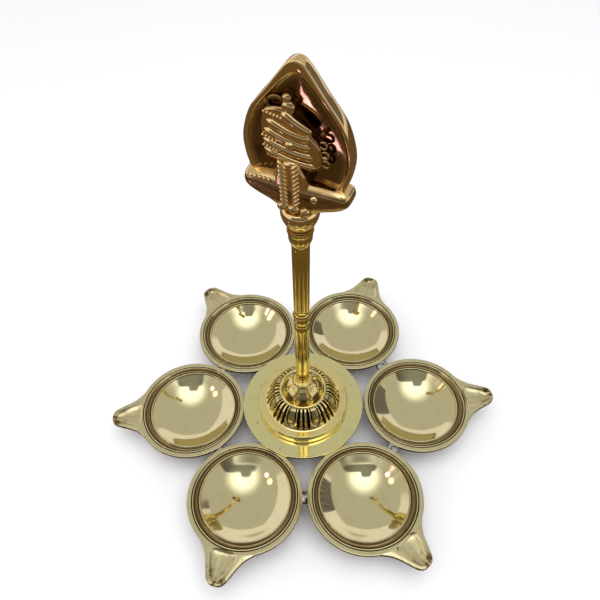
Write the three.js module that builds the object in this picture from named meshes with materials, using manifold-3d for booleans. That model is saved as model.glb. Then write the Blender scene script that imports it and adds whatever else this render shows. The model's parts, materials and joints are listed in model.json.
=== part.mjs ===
// Standing oil lamp with six spouted cups around a mirror plate, a fluted pedestal and a
// screwed stem that carries a leaf finial. Millimetres, +Z up, -Y is the front.
// The origin is on the surface the lamp stands on, under the stem's axis.
import * as THREE from 'three';
import { mergeVertices } from 'three/addons/utils/BufferGeometryUtils.js';
import Module from 'manifold-3d';

const wasm = await Module();
wasm.setup();

// ---- Driving dimensions (mm) -------------------------------------------------------------
const GAP = 0.3; // clearance between neighbouring pieces
const FINE = 36; // segments of the plate and the pedestal
const MEDIUM = 30; // segments of a cup
const COARSE = 20; // segments of a stem or a stud

// Cups, each standing on its own foot ring.
const CUP_HEIGHT = 17; // foot to flange top
const FLANGE_R = 26.7;
const FLANGE_INNER_R = 24.7;
const FLANGE_T = 1.5;
const BOWL_R = 20.2; // inside the inner bead
const BOWL_FLOOR = 8.2; // height of the bowl's lowest point
const FOOT_HEIGHT = 6.4; // foot ring up to the bowl's underside
const FOOT_R = 12.6;
const FOOT_INNER_R = 10.2;
const SPOUT_REACH = 39.8; // cup centre to spout tip
const SPOUT_ROOT_HALF = 12.8; // half width where it leaves the flange
const SPOUT_TIP_HALF = 2.3;
const SPOUT_T = 2.8;
const TROUGH_FLOOR = 15.5;
const TROUGH_ROOT_HALF = 6.6;
const TROUGH_TIP_HALF = 1.9;
// Each cup was set by hand: distance from the stem's axis, angle, and spout direction (degrees).
const CUP_PLACES = [
  { out: 57.9, angle: -0.6, spout: 6.9 },
  { out: 54.4, angle: 59.5, spout: 68.8 },
  { out: 55.2, angle: 123.2, spout: 128.9 },
  { out: 56.7, angle: 181.2, spout: 187.6 },
  { out: 55.1, angle: 239.7, spout: 253.6 },
  { out: 55.8, angle: 300, spout: 309 },
];

// Mirror plate on the cups' flanges.
const PLATE_R = 30.2;
const PLATE_T = 1.3;
const PLATE_BOTTOM = CUP_HEIGHT + GAP;
const PLATE_TOP = PLATE_BOTTOM + PLATE_T;

// Studs and their clearance holes.
const STUD_R = 2;
const STUD_HOLE_R = STUD_R + GAP;

// Heights above the plate.
const BAND_TOP = 4.8;
const DOME_TOP = 14.2;
const PEDESTAL_TOP = 22.5;
const FOOT_RING_TOP = 24;
const LOWER_STEM_TOP = 67.6;
const STEM_RING_TOP = 75.4;
const UPPER_STEM_TOP = 116.5;
const COLLAR_TOP = 123.8;
const KNOB_TOP = 134.2;
const LEAF_TIP = 188;

// Radii up the stem's axis.
const BAND_R = 22.4;
const FLUTE_R = 18;
const RING_R = 11.6;
const BOSS_R = 9.5;
const STEM_R = 3.25;
const UPPER_STEM_R = 3.42;
const KNOB_R = 6.9;

// Fluting round the pedestal's dome: panels between groups of three ribs.
const FLUTE_GROUPS = 8;
const RIB_PITCH_DEG = 8; // between the ribs of one group
const GROOVE_WIDTH = 0.7; // between two ribs
const PANEL_WIDTH = 4;
const BOSS_LOBES = 8;

// Leaf finial.
const LEAF_TURN = THREE.MathUtils.degToRad(-25);
const LEAF_HALF = 18.1;
const LEAF_T = 4.3;
const LEAF_RIM = 1.9;
const LEAF_DISH = 2.5;
const BAR_HALF = 18.6;
const BAR_FRONT = 5.2;
const BAR_BACK = 3.2;

// ---- Finishes ----------------------------------------------------------------------------
const polished = () =>
  new THREE.MeshStandardMaterial({ color: 0xc9b977, roughness: 0.12, metalness: 1 });
const richBrass = () =>
  new THREE.MeshStandardMaterial({ color: 0xc79a3c, roughness: 0.18, metalness: 1 });
const castBronze = () =>
  new THREE.MeshStandardMaterial({ color: 0xb98a52, roughness: 0.3, metalness: 1 });
const solder = () =>
  new THREE.MeshStandardMaterial({ color: 0x7c7a70, roughness: 0.55, metalness: 0.9 });

// ---- Solid helpers -----------------------------------------------------------------------
/** Turn a closed three.js geometry into a manifold solid. */
function toSolid(geometry) {
  const bare = geometry.clone();
  bare.deleteAttribute('normal');
  bare.deleteAttribute('uv');
  const merged = mergeVertices(bare, 1e-4);
  const index = merged.index.array;
  const triVerts = [];
  for (let i = 0; i < index.length; i += 3) {
    const [a, b, c] = [index[i], index[i + 1], index[i + 2]];
    if (a !== b && b !== c && c !== a) triVerts.push(a, b, c);
  }
  return new wasm.Manifold(
    new wasm.Mesh({
      numProp: 3,
      vertProperties: new Float32Array(merged.attributes.position.array),
      triVerts: new Uint32Array(triVerts),
    })
  );
}

/** Turn a manifold solid back into a three.js geometry. */
function toGeometry(solid) {
  const mesh = solid.getMesh();
  const geometry = new THREE.BufferGeometry();
  geometry.setAttribute('position', new THREE.BufferAttribute(mesh.vertProperties, 3));
  geometry.setIndex(new THREE.BufferAttribute(mesh.triVerts, 1));
  geometry.computeVertexNormals();
  return geometry;
}

/** A piece turned about +Z from [radius, height] points, listed bottom to top on the outside. */
function turned(profile, segments = FINE) {
  const points = profile.map(([r, z]) => new THREE.Vector2(r, z));
  return new THREE.LatheGeometry(points, segments).rotateX(Math.PI / 2);
}

/** A turned piece with a hole along its axis: the outside profile closed by the bore. */
function turnedWithBore(outside, boreR, segments = COARSE) {
  const first = outside[0];
  const last = outside[outside.length - 1];
  return turned([[boreR, first[1]], ...outside, [boreR, last[1]], [boreR, first[1]]], segments);
}

/** A flat outline in XY made thick between two heights. */
function slab(points, zLow, zHigh) {
  const shape = new THREE.Shape(points.map(([x, y]) => new THREE.Vector2(x, y)));
  const geometry = new THREE.ExtrudeGeometry(shape, { depth: zHigh - zLow, bevelEnabled: false });
  return geometry.translate(0, 0, zLow);
}

/** Points of a smooth open curve through the given ones. */
function smooth(points, steps) {
  const curve = new THREE.SplineCurve(points.map(([x, y]) => new THREE.Vector2(x, y)));
  return curve.getPoints(steps).map((p) => [p.x, p.y]);
}

/** The points followed by their mirror image across the second axis, without doubling the ends. */
function mirrored(points) {
  const back = points
    .slice()
    .reverse()
    .filter(([x]) => Math.abs(x) > 1e-6)
    .map(([x, y]) => [-x, y]);
  return [...points, ...back];
}

/** An arc of a circle, as points from one angle to the other. */
function arc(radius, fromAngle, toAngle, steps) {
  return Array.from({ length: steps + 1 }, (_, i) => {
    const angle = fromAngle + ((toAngle - fromAngle) * i) / steps;
    return [radius * Math.cos(angle), radius * Math.sin(angle)];
  });
}

const lamp = new THREE.Group();

/** Add a named piece to the lamp. */
function addPiece(name, geometry, material) {
  const mesh = new THREE.Mesh(geometry, material);
  mesh.name = name;
  lamp.add(mesh);
  return mesh;
}

// ---- Cups --------------------------------------------------------------------------------
/** Outside of a cup's foot and bowl up to the flange, grown by a clearance. */
function cupOutside(grow = 0) {
  const underFlange = CUP_HEIGHT - FLANGE_T - grow;
  return [
    [FOOT_R + grow, -grow],
    [FOOT_R + 0.4 + grow, FOOT_HEIGHT - grow],
    [18.4 + grow, 9.4 - grow],
    [22 + grow, 13.2 - grow],
    [23.4 + grow, underFlange],
    [FLANGE_R + grow, underFlange],
    [FLANGE_R + grow, CUP_HEIGHT + grow],
  ];
}

/** The spout's leaf outline, from the flange out to its blunt tip along +X. */
function spoutOutline() {
  const rootX = Math.sqrt(FLANGE_R ** 2 - SPOUT_ROOT_HALF ** 2);
  const flank = smooth(
    [
      [rootX, SPOUT_ROOT_HALF],
      [26.6, 9.7],
      [30, 7.6],
      [35, 5.5],
      [SPOUT_REACH - 1.2, SPOUT_TIP_HALF + 1.1],
      [SPOUT_REACH, SPOUT_TIP_HALF - 0.4],
    ],
    8
  );
  const otherFlank = flank.map(([x, y]) => [x, -y]);
  const root = FLANGE_INNER_R - 3;
  const rootHalf = SPOUT_ROOT_HALF - 2;
  return [[root, -rootHalf], ...otherFlank, ...flank.slice().reverse(), [root, rootHalf]];
}

/** The open trough in the spout: its root follows the flange's inner edge. */
function troughOutline() {
  const half = Math.asin(TROUGH_ROOT_HALF / (FLANGE_INNER_R + 0.5));
  const root = arc(FLANGE_INNER_R + 0.5, half, -half, 4);
  return [
    ...root,
    [SPOUT_REACH - 3.2, -TROUGH_TIP_HALF - 0.6],
    [SPOUT_REACH - 1, -TROUGH_TIP_HALF * 0.6],
    [SPOUT_REACH - 1, TROUGH_TIP_HALF * 0.6],
    [SPOUT_REACH - 3.2, TROUGH_TIP_HALF + 0.6],
  ].reverse();
}

/** A cup: foot ring, bowl, two turned beads inside a flat flange, and the spout. */
function cupGeometry() {
  const beadTop = CUP_HEIGHT - 0.1;
  const beadFoot = CUP_HEIGHT - 0.8;
  const body = turned(
    [
      [0, FOOT_HEIGHT],
      [FOOT_INNER_R - 0.4, FOOT_HEIGHT],
      [FOOT_INNER_R, 0],
      ...cupOutside(),
      [FLANGE_INNER_R, CUP_HEIGHT],
      [FLANGE_INNER_R - 0.3, beadFoot],
      [23.6, beadTop],
      [22.5, beadFoot],
      [21.4, beadTop],
      [BOWL_R, CUP_HEIGHT - 1.4],
      [18.6, 13.2],
      [15.6, 10.9],
      [10, BOWL_FLOOR + 0.8],
      [0, BOWL_FLOOR],
    ],
    MEDIUM
  );
  const bodySpace = turned(
    [
      [0, 0],
      [FLANGE_INNER_R, 0],
      [FLANGE_INNER_R, CUP_HEIGHT + 1],
      [0, CUP_HEIGHT + 1],
    ],
    MEDIUM
  );
  const spout = toSolid(slab(spoutOutline(), CUP_HEIGHT - SPOUT_T, CUP_HEIGHT));
  const trough = toSolid(slab(troughOutline(), TROUGH_FLOOR, CUP_HEIGHT + 1));
  return toGeometry(spout.subtract(toSolid(bodySpace)).add(toSolid(body)).subtract(trough));
}

const cupShape = cupGeometry();
const cupCentres = CUP_PLACES.map(({ out, angle }) => {
  const turn = THREE.MathUtils.degToRad(angle);
  return new THREE.Vector2(out * Math.cos(turn), out * Math.sin(turn));
});
CUP_PLACES.forEach(({ spout }, i) => {
  const cup = addPiece(`diya_${i + 1}`, cupShape, polished());
  cup.position.set(cupCentres[i].x, cupCentres[i].y, 0);
  cup.rotation.z = THREE.MathUtils.degToRad(spout);
});

// ---- Solder ------------------------------------------------------------------------------
/** A rounded blob of solder of the given half sizes. */
function blob(halfX, halfY, halfZ) {
  return new THREE.SphereGeometry(1, 12, 7).rotateX(Math.PI / 2).scale(halfX, halfY, halfZ);
}

/** A cup's space, grown by the clearance, standing at one cup's centre. */
function cupKeepOut(centre) {
  const profile = [[0, -GAP], ...cupOutside(GAP), [0, CUP_HEIGHT + GAP]];
  return toSolid(turned(profile, MEDIUM).translate(centre.x, centre.y, 0));
}

// Between neighbouring cups: a pad under both flanges with a rib up between them.
cupCentres.forEach((centre, i) => {
  const next = cupCentres[(i + 1) % cupCentres.length];
  const across = next.clone().sub(centre);
  const middle = centre.clone().add(next).multiplyScalar(0.5);
  const shape = blob(4.6, 3.4, 2)
    .rotateZ(across.angle())
    .translate(middle.x, middle.y, CUP_HEIGHT - 2.1);
  const link = toSolid(shape).subtract(cupKeepOut(centre)).subtract(cupKeepOut(next));
  addPiece(`solder_link_${i + 1}`, toGeometry(link), solder());
});

// Under the plate's edge, against each cup's flange.
CUP_PLACES.forEach(({ out, angle }, i) => {
  const half = 1.3;
  const piece = addPiece(`plate_solder_${i + 1}`, blob(half, 3.6, 1), solder());
  const distance = Math.min(out - FLANGE_R - GAP, PLATE_R) - half;
  const turn = THREE.MathUtils.degToRad(angle);
  piece.position.set(distance * Math.cos(turn), distance * Math.sin(turn), PLATE_BOTTOM - GAP - 1);
  piece.rotation.z = turn;
});

// ---- Plate and the fastening under it ----------------------------------------------------
addPiece(
  'center_plate',
  turnedWithBore(
    [
      [PLATE_R - 0.3, PLATE_BOTTOM],
      [PLATE_R, PLATE_BOTTOM + 0.3],
      [PLATE_R, PLATE_TOP - 0.3],
      [PLATE_R - 0.3, PLATE_TOP],
    ],
    STUD_HOLE_R,
    FINE
  ),
  polished()
);

const WASHER_TOP = PLATE_BOTTOM - GAP;
const WASHER_T = 1.2;
const NUT_TOP = WASHER_TOP - WASHER_T - GAP;
const NUT_H = 3.4;
const NUT_ACROSS_FLATS = 8;
const STUD_BOTTOM = NUT_TOP - NUT_H - 2.4;
addPiece(
  'base_washer',
  turnedWithBore([[6, WASHER_TOP - WASHER_T], [6, WASHER_TOP]], STUD_HOLE_R),
  richBrass()
);
addPiece(
  'base_nut',
  turnedWithBore(
    [
      [NUT_ACROSS_FLATS / Math.sqrt(3), NUT_TOP - NUT_H],
      [NUT_ACROSS_FLATS / Math.sqrt(3), NUT_TOP],
    ],
    STUD_HOLE_R,
    6
  ),
  richBrass()
);

/** A plain stud with chamfered ends between two heights. */
function stud(zLow, zHigh) {
  return turned(
    [
      [0, zLow],
      [STUD_R - 0.4, zLow],
      [STUD_R, zLow + 0.5],
      [STUD_R, zHigh - 0.5],
      [STUD_R - 0.4, zHigh],
      [0, zHigh],
    ],
    12
  );
}

const ENGAGED = 9; // stud length held in the piece that screws onto it
addPiece('tie_stud', stud(STUD_BOTTOM, PLATE_TOP + FOOT_RING_TOP + GAP + ENGAGED), richBrass());

// ---- Pedestal ----------------------------------------------------------------------------
/** Height above the plate at a distance from the axis, on the dome between band and ring. */
function domePoint(share) {
  const radius = THREE.MathUtils.lerp(FLUTE_R, RING_R + 0.2, share);
  const rise = Math.sin((share * Math.PI) / 2);
  return [radius, BAND_TOP + 0.4 + (DOME_TOP - BAND_TOP - 0.8) * rise];
}

/** Fluted dome over a turned band, with a lobed bell boss on top. */
function pedestalGeometry() {
  const base = GAP;
  const outside = [
    [BAND_R - 0.5, base],
    [BAND_R, base + 0.6],
    [BAND_R, BAND_TOP - 1.2],
    [BAND_R - 0.9, BAND_TOP],
    [FLUTE_R + 0.3, BAND_TOP],
    ...[0, 0.3, 0.6, 1].map(domePoint),
    [RING_R, DOME_TOP],
    [BOSS_R + 0.6, DOME_TOP + 0.2],
    [BOSS_R + 0.2, DOME_TOP - 0.2],
    [BOSS_R, DOME_TOP + 1.4],
    [8.4, DOME_TOP + 3.8],
    [6.2, DOME_TOP + 6.2],
    [4.6, PEDESTAL_TOP - 0.7],
    [4.3, PEDESTAL_TOP],
  ];
  const cavity = [
    [5.2, DOME_TOP - 3],
    [5.2, -1],
    [BAND_R - 2.4, -1],
    [BAND_R - 2.4, BAND_TOP - 2],
    [FLUTE_R - 3, BAND_TOP - 1.4],
    [FLUTE_R - 6.5, DOME_TOP - 5],
    [5.2, DOME_TOP - 3],
  ];
  const shell = toSolid(turnedWithBore(outside, STUD_HOLE_R, FINE));
  let body = shell.subtract(toSolid(turned(cavity, COARSE)));
  const panelTurn = (2 * Math.PI) / FLUTE_GROUPS;
  for (let i = 0; i < FLUTE_GROUPS; i += 1) {
    const ribs = -Math.PI / 2 + i * panelTurn;
    for (const side of [-0.5, 0.5]) {
      const turn = ribs + side * THREE.MathUtils.degToRad(RIB_PITCH_DEG);
      body = body.subtract(fluteCut(turn, GROOVE_WIDTH));
    }
    body = body.subtract(fluteCut(ribs + panelTurn / 2, PANEL_WIDTH));
  }
  for (let i = 0; i < BOSS_LOBES; i += 1) {
    body = body.subtract(lobeCut((2 * Math.PI * (i + 0.5)) / BOSS_LOBES));
  }
  return toGeometry(body.translate([0, 0, PLATE_TOP]));
}

/** A recess of a given width cut into the dome's slope. */
function fluteCut(turn, width) {
  const run = Math.hypot(FLUTE_R - RING_R, DOME_TOP - BAND_TOP);
  const slope = Math.atan2(DOME_TOP - BAND_TOP, FLUTE_R - RING_R);
  const depth = 2.2;
  const outward = 1.1; // the dome bulges past the straight line between its ends
  const cut = new THREE.BoxGeometry(run * 0.8, width, depth)
    .rotateY(slope)
    .translate((FLUTE_R + RING_R) / 2 + outward, 0, (BAND_TOP + DOME_TOP) / 2 + outward)
    .rotateZ(turn);
  return toSolid(cut);
}

/** A groove that parts two lobes of the boss. */
function lobeCut(turn) {
  const cut = new THREE.CylinderGeometry(0.9, 0.9, 7, 8)
    .rotateX(Math.PI / 2)
    .rotateY(-0.5)
    .translate(BOSS_R - 0.3, 0, DOME_TOP + 4.8)
    .rotateZ(turn);
  return toSolid(cut);
}

addPiece('pedestal', pedestalGeometry(), richBrass());

// ---- Stem --------------------------------------------------------------------------------
/** Lift a profile given above the plate to its place above the ground. */
const abovePlate = (profile) => profile.map(([r, z]) => [r, z + PLATE_TOP]);

addPiece(
  'stem_foot_ring',
  turnedWithBore(
    abovePlate([
      [4.3, PEDESTAL_TOP + GAP],
      [4.3, PEDESTAL_TOP + 0.7],
      [3.7, PEDESTAL_TOP + 0.9],
      [3.7, FOOT_RING_TOP],
    ]),
    STUD_HOLE_R
  ),
  richBrass()
);

/** A stem with a blind bore at its foot and, where asked, one at its head. */
function stemGeometry(outside, footBore, headBore) {
  const zLow = outside[0][1];
  const zHigh = outside[outside.length - 1][1];
  const profile = [[0, zLow + footBore], [STUD_HOLE_R, zLow + footBore], [STUD_HOLE_R, zLow], ...outside];
  if (headBore > 0) {
    profile.push([STUD_HOLE_R, zHigh], [STUD_HOLE_R, zHigh - headBore], [0, zHigh - headBore]);
  } else {
    profile.push([0, zHigh]);
  }
  return turned(profile, COARSE);
}

const lowerStemFoot = FOOT_RING_TOP + GAP;
addPiece(
  'lower_stem',
  stemGeometry(
    abovePlate([
      [STEM_R, lowerStemFoot],
      [STEM_R, LOWER_STEM_TOP],
    ]),
    ENGAGED + 1,
    ENGAGED + 1
  ),
  richBrass()
);
const lowerHoldStart = PLATE_TOP + LOWER_STEM_TOP - ENGAGED;
const upperStemFoot = STEM_RING_TOP + GAP;
addPiece('joint_stud', stud(lowerHoldStart, PLATE_TOP + upperStemFoot + ENGAGED), richBrass());
addPiece(
  'stem_ring',
  turnedWithBore(
    abovePlate([
      [STEM_R + 0.2, LOWER_STEM_TOP + GAP],
      [STEM_R + 0.25, STEM_RING_TOP - 2.6],
      [STEM_R + 0.5, STEM_RING_TOP - 1.9],
      [STEM_R + 0.5, STEM_RING_TOP - 0.7],
      [STEM_R + 0.2, STEM_RING_TOP],
    ]),
    STUD_HOLE_R
  ),
  richBrass()
);
addPiece(
  'upper_stem',
  stemGeometry(
    abovePlate([
      [STEM_R, upperStemFoot],
      [UPPER_STEM_R, UPPER_STEM_TOP],
    ]),
    ENGAGED + 1,
    ENGAGED + 1
  ),
  richBrass()
);

// ---- Finial ------------------------------------------------------------------------------
const collarFoot = UPPER_STEM_TOP + GAP;
addPiece(
  'finial_collar',
  turnedWithBore(
    abovePlate([
      [UPPER_STEM_R, collarFoot],
      [4.3, collarFoot + 1.6],
      [4.6, COLLAR_TOP - 2.6],
      [4.9, COLLAR_TOP - 0.5],
      [4.7, COLLAR_TOP],
    ]),
    STUD_HOLE_R
  ),
  richBrass()
);
const knobFoot = COLLAR_TOP + GAP;
addPiece(
  'finial_knob',
  turnedWithBore(
    abovePlate([
      [4.6, knobFoot],
      [5.6, knobFoot + 2.4],
      [6.6, knobFoot + 5.2],
      [KNOB_R, knobFoot + 7.2],
      [6.6, KNOB_TOP - 1.2],
      [5.6, KNOB_TOP],
    ]),
    STUD_HOLE_R
  ),
  castBronze()
);
const LEAF_SOCKET = 7; // stud length held in the leaf's bar
const leafFoot = KNOB_TOP + GAP;
addPiece(
  'finial_stud',
  stud(PLATE_TOP + UPPER_STEM_TOP - ENGAGED, PLATE_TOP + leafFoot + LEAF_SOCKET - 1),
  richBrass()
);

/** Right half of the leaf's outline, tip first, as [across, height above the plate]. */
function leafHalf(inset = 0) {
  const curve = [
    [0, LEAF_TIP - inset * 1.5],
    [2.4 - inset * 0.7, LEAF_TIP - 2.7 - inset],
    [8.6 - inset, LEAF_TIP - 9.9 - inset * 0.6],
    [14.8 - inset, LEAF_TIP - 18 - inset * 0.3],
    [LEAF_HALF - 0.5 - inset, LEAF_TIP - 26],
    [LEAF_HALF - inset, LEAF_TIP - 32],
    [16.3 - inset, LEAF_TIP - 41],
  ];
  return smooth(curve, 14);
}

/** The leaf casting: rimmed dish, boat-shaped bar across its foot, and raised ornament. */
function leafGeometry() {
  const barTop = 147;
  const leaf = slab(
    mirrored([...leafHalf(), [15, barTop - 2.5], [0, barTop - 2.5]]).reverse(),
    -LEAF_T / 2,
    LEAF_T / 2
  );
  const dish = slab(
    mirrored([...leafHalf(LEAF_RIM), [13.4, barTop], [0, barTop]]).reverse(),
    LEAF_T / 2 - LEAF_DISH,
    LEAF_T / 2 + 1
  );
  const barOutline = [
    [0, barTop],
    [14.5, barTop],
    [BAR_HALF - 0.9, barTop - 0.9],
    [BAR_HALF, 143.6],
    [BAR_HALF - 0.9, 140.9],
    [14.6, 138.6],
    [9.6, 136.4],
    [6.4, leafFoot],
    [0, leafFoot],
  ];
  const bar = slab(mirrored(barOutline).reverse(), -BAR_BACK, BAR_FRONT);
  const lip = slab(
    mirrored([
      [0, leafFoot + 6],
      [5.4, leafFoot + 6],
      [6.4, leafFoot + 2.4],
      [4.6, leafFoot],
      [0, leafFoot],
    ]).reverse(),
    BAR_FRONT - 1,
    BAR_FRONT + 1.6
  );
  const plateFront = LEAF_T / 2 - LEAF_DISH - 0.3;
  const panel = slab(
    [
      [-8.6, 156],
      [5.4, 152],
      [8.4, 155.1],
      [7.6, 161.2],
      [1.4, 167],
      [-2.6, 170.2],
      [-7.6, 169],
      [-9.4, 165.6],
    ],
    plateFront,
    3.4
  );
  const crown = slab(
    [
      [-5, 168.6],
      [0, 168.6],
      [0.4, 173.2],
      [-2, 175.4],
      [-4.6, 173.2],
    ],
    plateFront,
    3
  );
  const braid = slab(
    [
      [-5.6, 139.6],
      [2.8, 139.6],
      [3.6, 148.6],
      [-0.6, 153.6],
      [-5.4, 149.2],
    ],
    plateFront,
    BAR_FRONT + 0.8
  );
  const socket = new THREE.CylinderGeometry(STUD_HOLE_R, STUD_HOLE_R, LEAF_SOCKET * 2, COARSE)
    .translate(0, leafFoot, 0);
  let body = toSolid(leaf).subtract(toSolid(dish));
  for (const raised of [bar, lip, panel, crown, braid]) {
    body = body.add(toSolid(raised));
  }
  return toGeometry(body.subtract(toSolid(socket)))
    .rotateX(Math.PI / 2)
    .rotateZ(LEAF_TURN)
    .translate(0, 0, PLATE_TOP);
}

addPiece('finial_leaf', leafGeometry(), castBronze());

export default lamp;
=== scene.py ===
"""Looks of a standing oil lamp: six spouted cups round a mirror plate, a fluted pedestal,
a screwed stem and a leaf finial. Everything is in metres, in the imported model's frame."""

import json
import logging
import math
from dataclasses import dataclass, replace
from enum import Enum
from typing import Any, Callable, Sequence, Union

import bpy
import numpy as np
from mathutils import Matrix, Vector


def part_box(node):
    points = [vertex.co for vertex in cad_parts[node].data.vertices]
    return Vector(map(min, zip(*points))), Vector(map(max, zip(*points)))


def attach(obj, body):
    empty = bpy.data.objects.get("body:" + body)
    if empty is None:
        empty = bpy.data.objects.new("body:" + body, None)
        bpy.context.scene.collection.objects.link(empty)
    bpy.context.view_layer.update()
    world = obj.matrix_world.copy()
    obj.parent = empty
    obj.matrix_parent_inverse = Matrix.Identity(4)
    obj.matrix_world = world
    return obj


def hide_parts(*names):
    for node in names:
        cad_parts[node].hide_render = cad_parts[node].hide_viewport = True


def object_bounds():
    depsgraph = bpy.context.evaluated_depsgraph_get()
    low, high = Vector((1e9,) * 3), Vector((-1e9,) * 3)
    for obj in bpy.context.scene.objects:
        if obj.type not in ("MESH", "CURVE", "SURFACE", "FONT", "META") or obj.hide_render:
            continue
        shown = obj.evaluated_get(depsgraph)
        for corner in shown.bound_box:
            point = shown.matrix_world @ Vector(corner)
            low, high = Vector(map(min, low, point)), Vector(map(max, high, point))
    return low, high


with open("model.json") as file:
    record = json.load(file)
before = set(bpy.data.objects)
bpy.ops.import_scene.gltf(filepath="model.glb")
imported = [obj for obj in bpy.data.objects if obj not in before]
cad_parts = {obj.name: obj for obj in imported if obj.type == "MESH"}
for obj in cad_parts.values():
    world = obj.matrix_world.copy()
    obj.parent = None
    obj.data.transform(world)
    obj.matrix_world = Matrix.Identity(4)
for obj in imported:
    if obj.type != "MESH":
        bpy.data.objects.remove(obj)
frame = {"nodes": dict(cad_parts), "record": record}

LOG = logging.getLogger("oil_lamp")
MM = 0.001
CAD_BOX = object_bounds()
CUPS = 6
STUDS = ("tie_stud", "joint_stud", "finial_stud")

Colour = tuple[float, float, float, float]
Points = Sequence[tuple[float, float]]


# ---- Node trees --------------------------------------------------------------------------
@dataclass(frozen=True)
class Wire:
    """One output socket, with arithmetic that adds Math nodes to its tree."""

    book: "NodeBook"
    socket: bpy.types.NodeSocket

    def _math(self, operation: str, first: "Value", second: "Value" = 0.0) -> "Wire":
        """Add one Math node and return its result."""
        return self.book.node("ShaderNodeMath", {"operation": operation}, {0: first, 1: second})

    def __add__(self, other: "Value") -> "Wire":
        """self + other."""
        return self._math("ADD", self, other)

    def __radd__(self, other: "Value") -> "Wire":
        """other + self."""
        return self._math("ADD", other, self)

    def __sub__(self, other: "Value") -> "Wire":
        """self - other."""
        return self._math("SUBTRACT", self, other)

    def __rsub__(self, other: "Value") -> "Wire":
        """other - self."""
        return self._math("SUBTRACT", other, self)

    def __mul__(self, other: "Value") -> "Wire":
        """self * other."""
        return self._math("MULTIPLY", self, other)

    def __rmul__(self, other: "Value") -> "Wire":
        """other * self."""
        return self._math("MULTIPLY", other, self)

    def __truediv__(self, other: "Value") -> "Wire":
        """self / other."""
        return self._math("DIVIDE", self, other)

    def __rtruediv__(self, other: "Value") -> "Wire":
        """other / self."""
        return self._math("DIVIDE", other, self)

    def __mod__(self, other: "Value") -> "Wire":
        """Remainder that is never negative."""
        return self._math("FLOORED_MODULO", self, other)

    def __pow__(self, other: "Value") -> "Wire":
        """self to a power."""
        return self._math("POWER", self, other)

    def __abs__(self) -> "Wire":
        """Distance from zero."""
        return self._math("ABSOLUTE", self)

    def floor(self) -> "Wire":
        """The whole number below."""
        return self._math("FLOOR", self)

    def cosine(self) -> "Wire":
        """Cosine of an angle in radians."""
        return self._math("COSINE", self)

    def sine(self) -> "Wire":
        """Sine of an angle in radians."""
        return self._math("SINE", self)

    def least(self, other: "Value") -> "Wire":
        """The smaller of two values."""
        return self._math("MINIMUM", self, other)

    def most(self, other: "Value") -> "Wire":
        """The larger of two values."""
        return self._math("MAXIMUM", self, other)

    def clamped(self) -> "Wire":
        """The value held between 0 and 1."""
        return self.most(0.0).least(1.0)


Value = Union[Wire, float, int]


class NodeBook:
    """Adds nodes to one tree."""

    def __init__(self, tree: bpy.types.NodeTree) -> None:
        """Keep the tree that nodes are added to."""
        self.tree = tree

    def feed(self, socket: bpy.types.NodeSocket, value: Any) -> None:
        """Give an input socket a link or a fixed value."""
        if isinstance(value, Wire):
            self.tree.links.new(value.socket, socket)
        else:
            socket.default_value = value

    def node(
        self,
        kind: str,
        settings: dict[str, Any] | None = None,
        inputs: dict[Any, Any] | None = None,
        output: Any = 0,
    ) -> Wire:
        """Add a node of any type.

        Args:
            kind: The node's type name.
            settings: Its properties, set first.
            inputs: Values or links by socket name or number.
            output: Name or number of the output to return.

        Returns:
            The chosen output.
        """
        made = self.tree.nodes.new(kind)
        for name, value in (settings or {}).items():
            setattr(made, name, value)
        for key, value in (inputs or {}).items():
            self.feed(made.inputs[key], value)
        return Wire(self, made.outputs[output])

    def ramp(self, value: Wire, low: float, high: float) -> Wire:
        """A smooth step from 0 at low to 1 at high."""
        return self.node(
            "ShaderNodeMapRange",
            {"interpolation_type": "SMOOTHSTEP"},
            {"Value": value, "From Min": low, "From Max": high},
        )

    def mix(self, share: Value, first: Any, second: Any) -> Wire:
        """Blend two colours."""
        return self.node(
            "ShaderNodeMix", {"data_type": "RGBA"}, {0: share, 6: first, 7: second}, output=2
        )

    def noise(self, place: Wire, scale: float, detail: float = 2.0, offset: float = 0.0) -> Wire:
        """Cloudy noise from 0 to 1 on a vector."""
        moved = self.node(
            "ShaderNodeVectorMath", {"operation": "ADD"}, {0: place, 1: (offset, offset, offset)}
        )
        return self.node(
            "ShaderNodeTexNoise", {}, {"Vector": moved, "Scale": scale, "Detail": detail}
        )

    def noise_along(self, distance: Wire, scale: float, detail: float = 2.0) -> Wire:
        """Noise from 0 to 1 that changes along one number only."""
        return self.node(
            "ShaderNodeTexNoise",
            {"noise_dimensions": "1D"},
            {"W": distance, "Scale": scale, "Detail": detail},
        )


# ---- Finishes ----------------------------------------------------------------------------
class Grain(Enum):
    """How a brass surface was worked."""

    TURNED = "fine rings left by a lathe"
    CAST = "soft sand texture"
    SPOUTED = "lathe rings inside the cup, file marks along the spout"


@dataclass(frozen=True)
class Cloud:
    """Noise over a piece's own place, and the smooth step that turns it into patches."""

    scale: float
    detail: float
    offset: float = 0.0
    low: float = 0.0
    high: float = 1.0

    def noise(self, book: NodeBook, place: Wire) -> Wire:
        """The noise itself, from 0 to 1; its scale is in lumps a metre."""
        return book.noise(place, self.scale, self.detail, self.offset)

    def patches(self, book: NodeBook, place: Wire) -> Wire:
        """0 where the noise is below low, 1 where it is above high."""
        return book.ramp(self.noise(book, place), self.low, self.high)


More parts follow.
